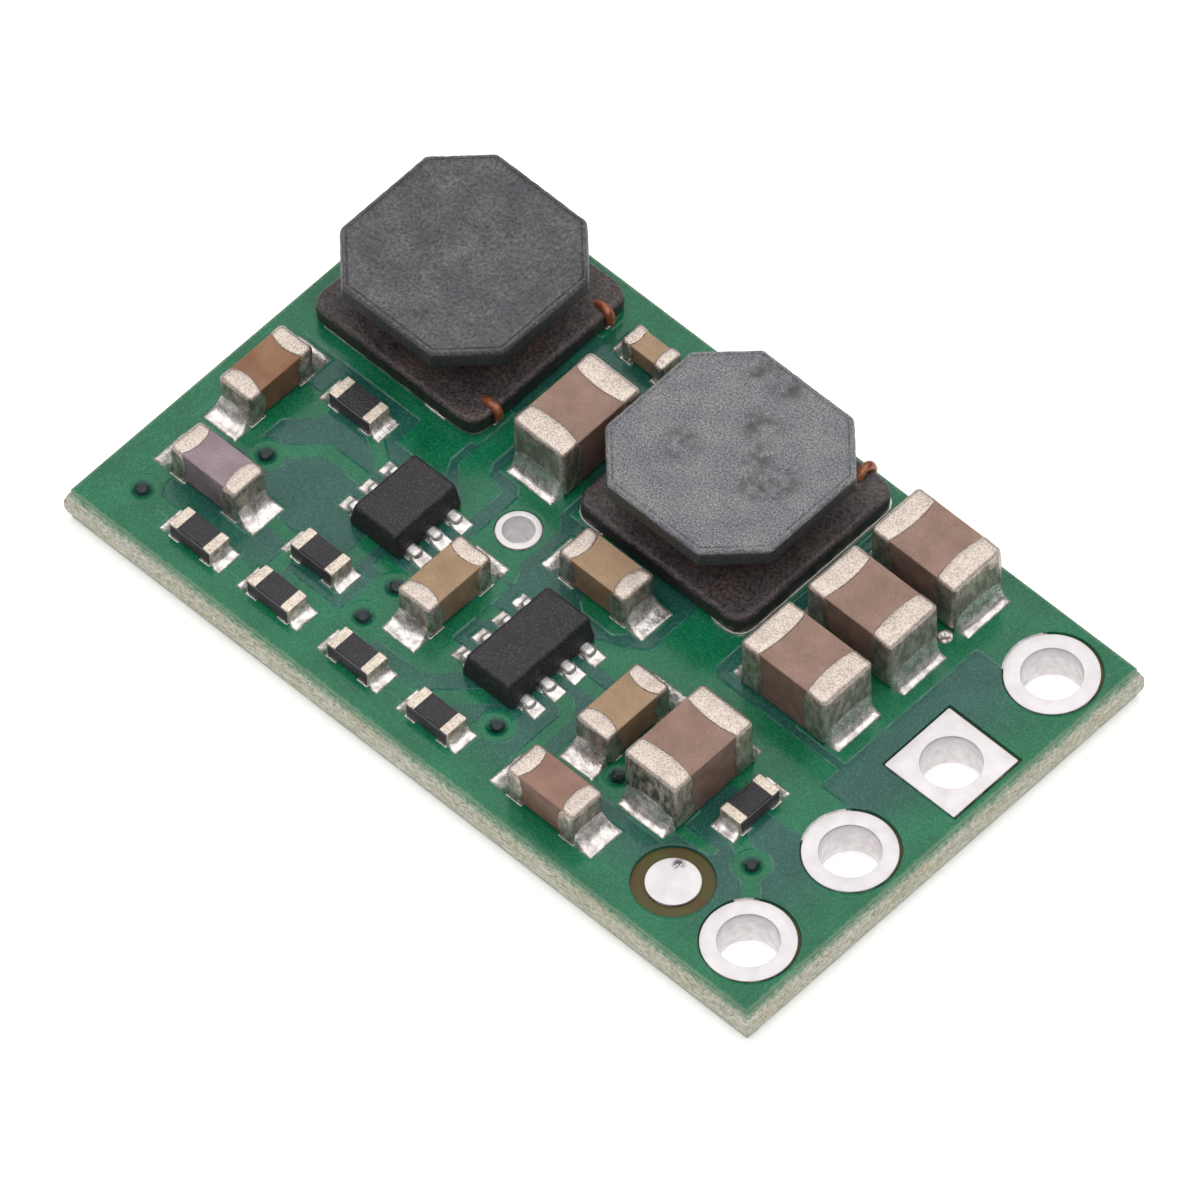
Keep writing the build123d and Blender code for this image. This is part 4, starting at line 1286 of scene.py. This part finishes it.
def build_camera():
    """Camera that matches the photograph."""
    turn, height, roll = (math.radians(a) for a in (CAMERA_TURN, CAMERA_HEIGHT, CAMERA_ROLL))
    back = np.array((math.sin(turn) * math.cos(height), -math.cos(turn) * math.cos(height), math.sin(height)))
    right = np.array((math.cos(turn), math.sin(turn), 0))
    up = np.cross(back, right)
    rolled_right = math.cos(roll) * right + math.sin(roll) * up
    rolled_up = -math.sin(roll) * right + math.cos(roll) * up
    place = (np.array(CAMERA_TARGET) + back * CAMERA_DISTANCE) * MM
    data = bpy.data.cameras.new("camera")
    data.lens = CAMERA_LENS
    data.sensor_width = SENSOR
    data.clip_start = 0.01
    data.clip_end = 20
    camera = placed("camera", data)
    matrix = np.eye(4)
    matrix[:3, 0] = rolled_right
    matrix[:3, 1] = rolled_up
    matrix[:3, 2] = back
    matrix[:3, 3] = place
    camera.matrix_world = Matrix(matrix.tolist())
    bpy.context.scene.camera = camera


def build_world():
    """White backdrop for the camera, and a bright ceiling that fades towards the horizon."""
    world = bpy.data.worlds.new("studio")
    bpy.context.scene.world = world
    world.use_nodes = True
    tree = world.node_tree
    tree.nodes.clear()
    place = add_node(tree, "TexCoord", {}).outputs["Generated"]
    height = add_node(tree, "SeparateXYZ", {"Vector": place}).outputs["Z"]
    reach = {"Value": height, "From Min": CEILING_START, "From Max": CEILING_END, "To Min": HORIZON_SHARE}
    fade = add_node(tree, "MapRange", reach, interpolation_type="SMOOTHSTEP").outputs["Result"]
    strength = add_node(tree, "Math", {0: fade, 1: CEILING_LIGHT}, operation="MULTIPLY").outputs[0]
    ceiling = add_node(tree, "Background", {"Color": CEILING_COLOUR, "Strength": strength}).outputs[0]
    backdrop = add_node(tree, "Background", {"Color": WHITE}).outputs[0]
    seen = add_node(tree, "LightPath", {}).outputs["Is Camera Ray"]
    choice = add_node(tree, "MixShader", {"Fac": seen, 1: ceiling, 2: backdrop}).outputs[0]
    add_node(tree, "OutputWorld", {"Surface": choice})


def build_floor():
    """White floor that keeps the shadow."""
    look = Look("floor", roughness=1.0, gloss=0.0)
    look.set({"Base Color": FLOOR_COLOUR, "Emission Color": WHITE, "Emission Strength": FLOOR_GLOW})
    mesh = bpy.data.meshes.new("floor")
    half = FLOOR_SIZE / 2 * MM
    mesh.from_pydata([(x, y, 0) for x, y in rectangle(half, half)], [], [(0, 1, 2, 3)])
    mesh.materials.append(look.material)
    floor = placed("floor", mesh)


def dress_board():
    """Board with its mask, copper, rim and plated holes."""
    laminate = laminate_look()
    mask = mask_look()
    tin = ring_look()
    for node, look in (("circuit_board", substrate_look()), ("copper_tracks", tin)):
        node_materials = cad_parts[node].data.materials
        node_materials.clear()
        node_materials.append(look)
    build_mask(mask)
    build_via_hollows(via_look())
    build_under_mask(mask)
    build_board_edge(laminate)
    build_holes(tin, ring_look("scratched dot", DOT_SCRATCH))


def dress_parts():
    """Everything that is soldered to the board."""
    solder = solder_look()
    caps = end_cap_look("end cap metal", (222, 208, 198), (186, 172, 162))
    strips = end_cap_look("resistor end metal", (236, 222, 208), (200, 184, 168), 0.6)
    ceramics = {kind: ceramic_look(kind + " ceramic", *pair) for kind, pair in CERAMIC_COLOURS.items()}
    build_filled_via(solder)
    build_capacitors(ceramics, caps, solder)
    build_resistors(
        ceramic_look("grey ceramic", (74, 70, 76), (98, 92, 98), 0.3),
        black_look("black glass coat", (24, 22, 26), (36, 32, 38), 0.36), strips, solder,
    )
    tin = lead_look()
    build_chips(black_look("moulding resin", (30, 28, 31), (42, 39, 42), 0.5), tin, solder)
    wire = wire_look()
    base = ferrite_look("base ferrite", (60, 53, 55), (82, 73, 72), BASE_EDGE, 0.45, 0.055)
    dark = ferrite_look("dark ferrite", (56, 54, 60), (84, 82, 84), COIL_TOP, 0.7, 0.048)
    grey = ferrite_look("grey ferrite", (102, 102, 110), (124, 123, 124), COIL_TOP, 0.7, 0.034, STAINS)
    tops = {"coil_1": dark, "coil_2": grey}
    for name, turn in COIL_TURNS.items():
        build_coil(name, turn, tops[name], base, wire, tin)
    build_coil_solder(solder)


dress_board()
dress_parts()
build_camera()
build_world()
build_floor()
bpy.context.scene.view_settings.view_transform = "Standard"
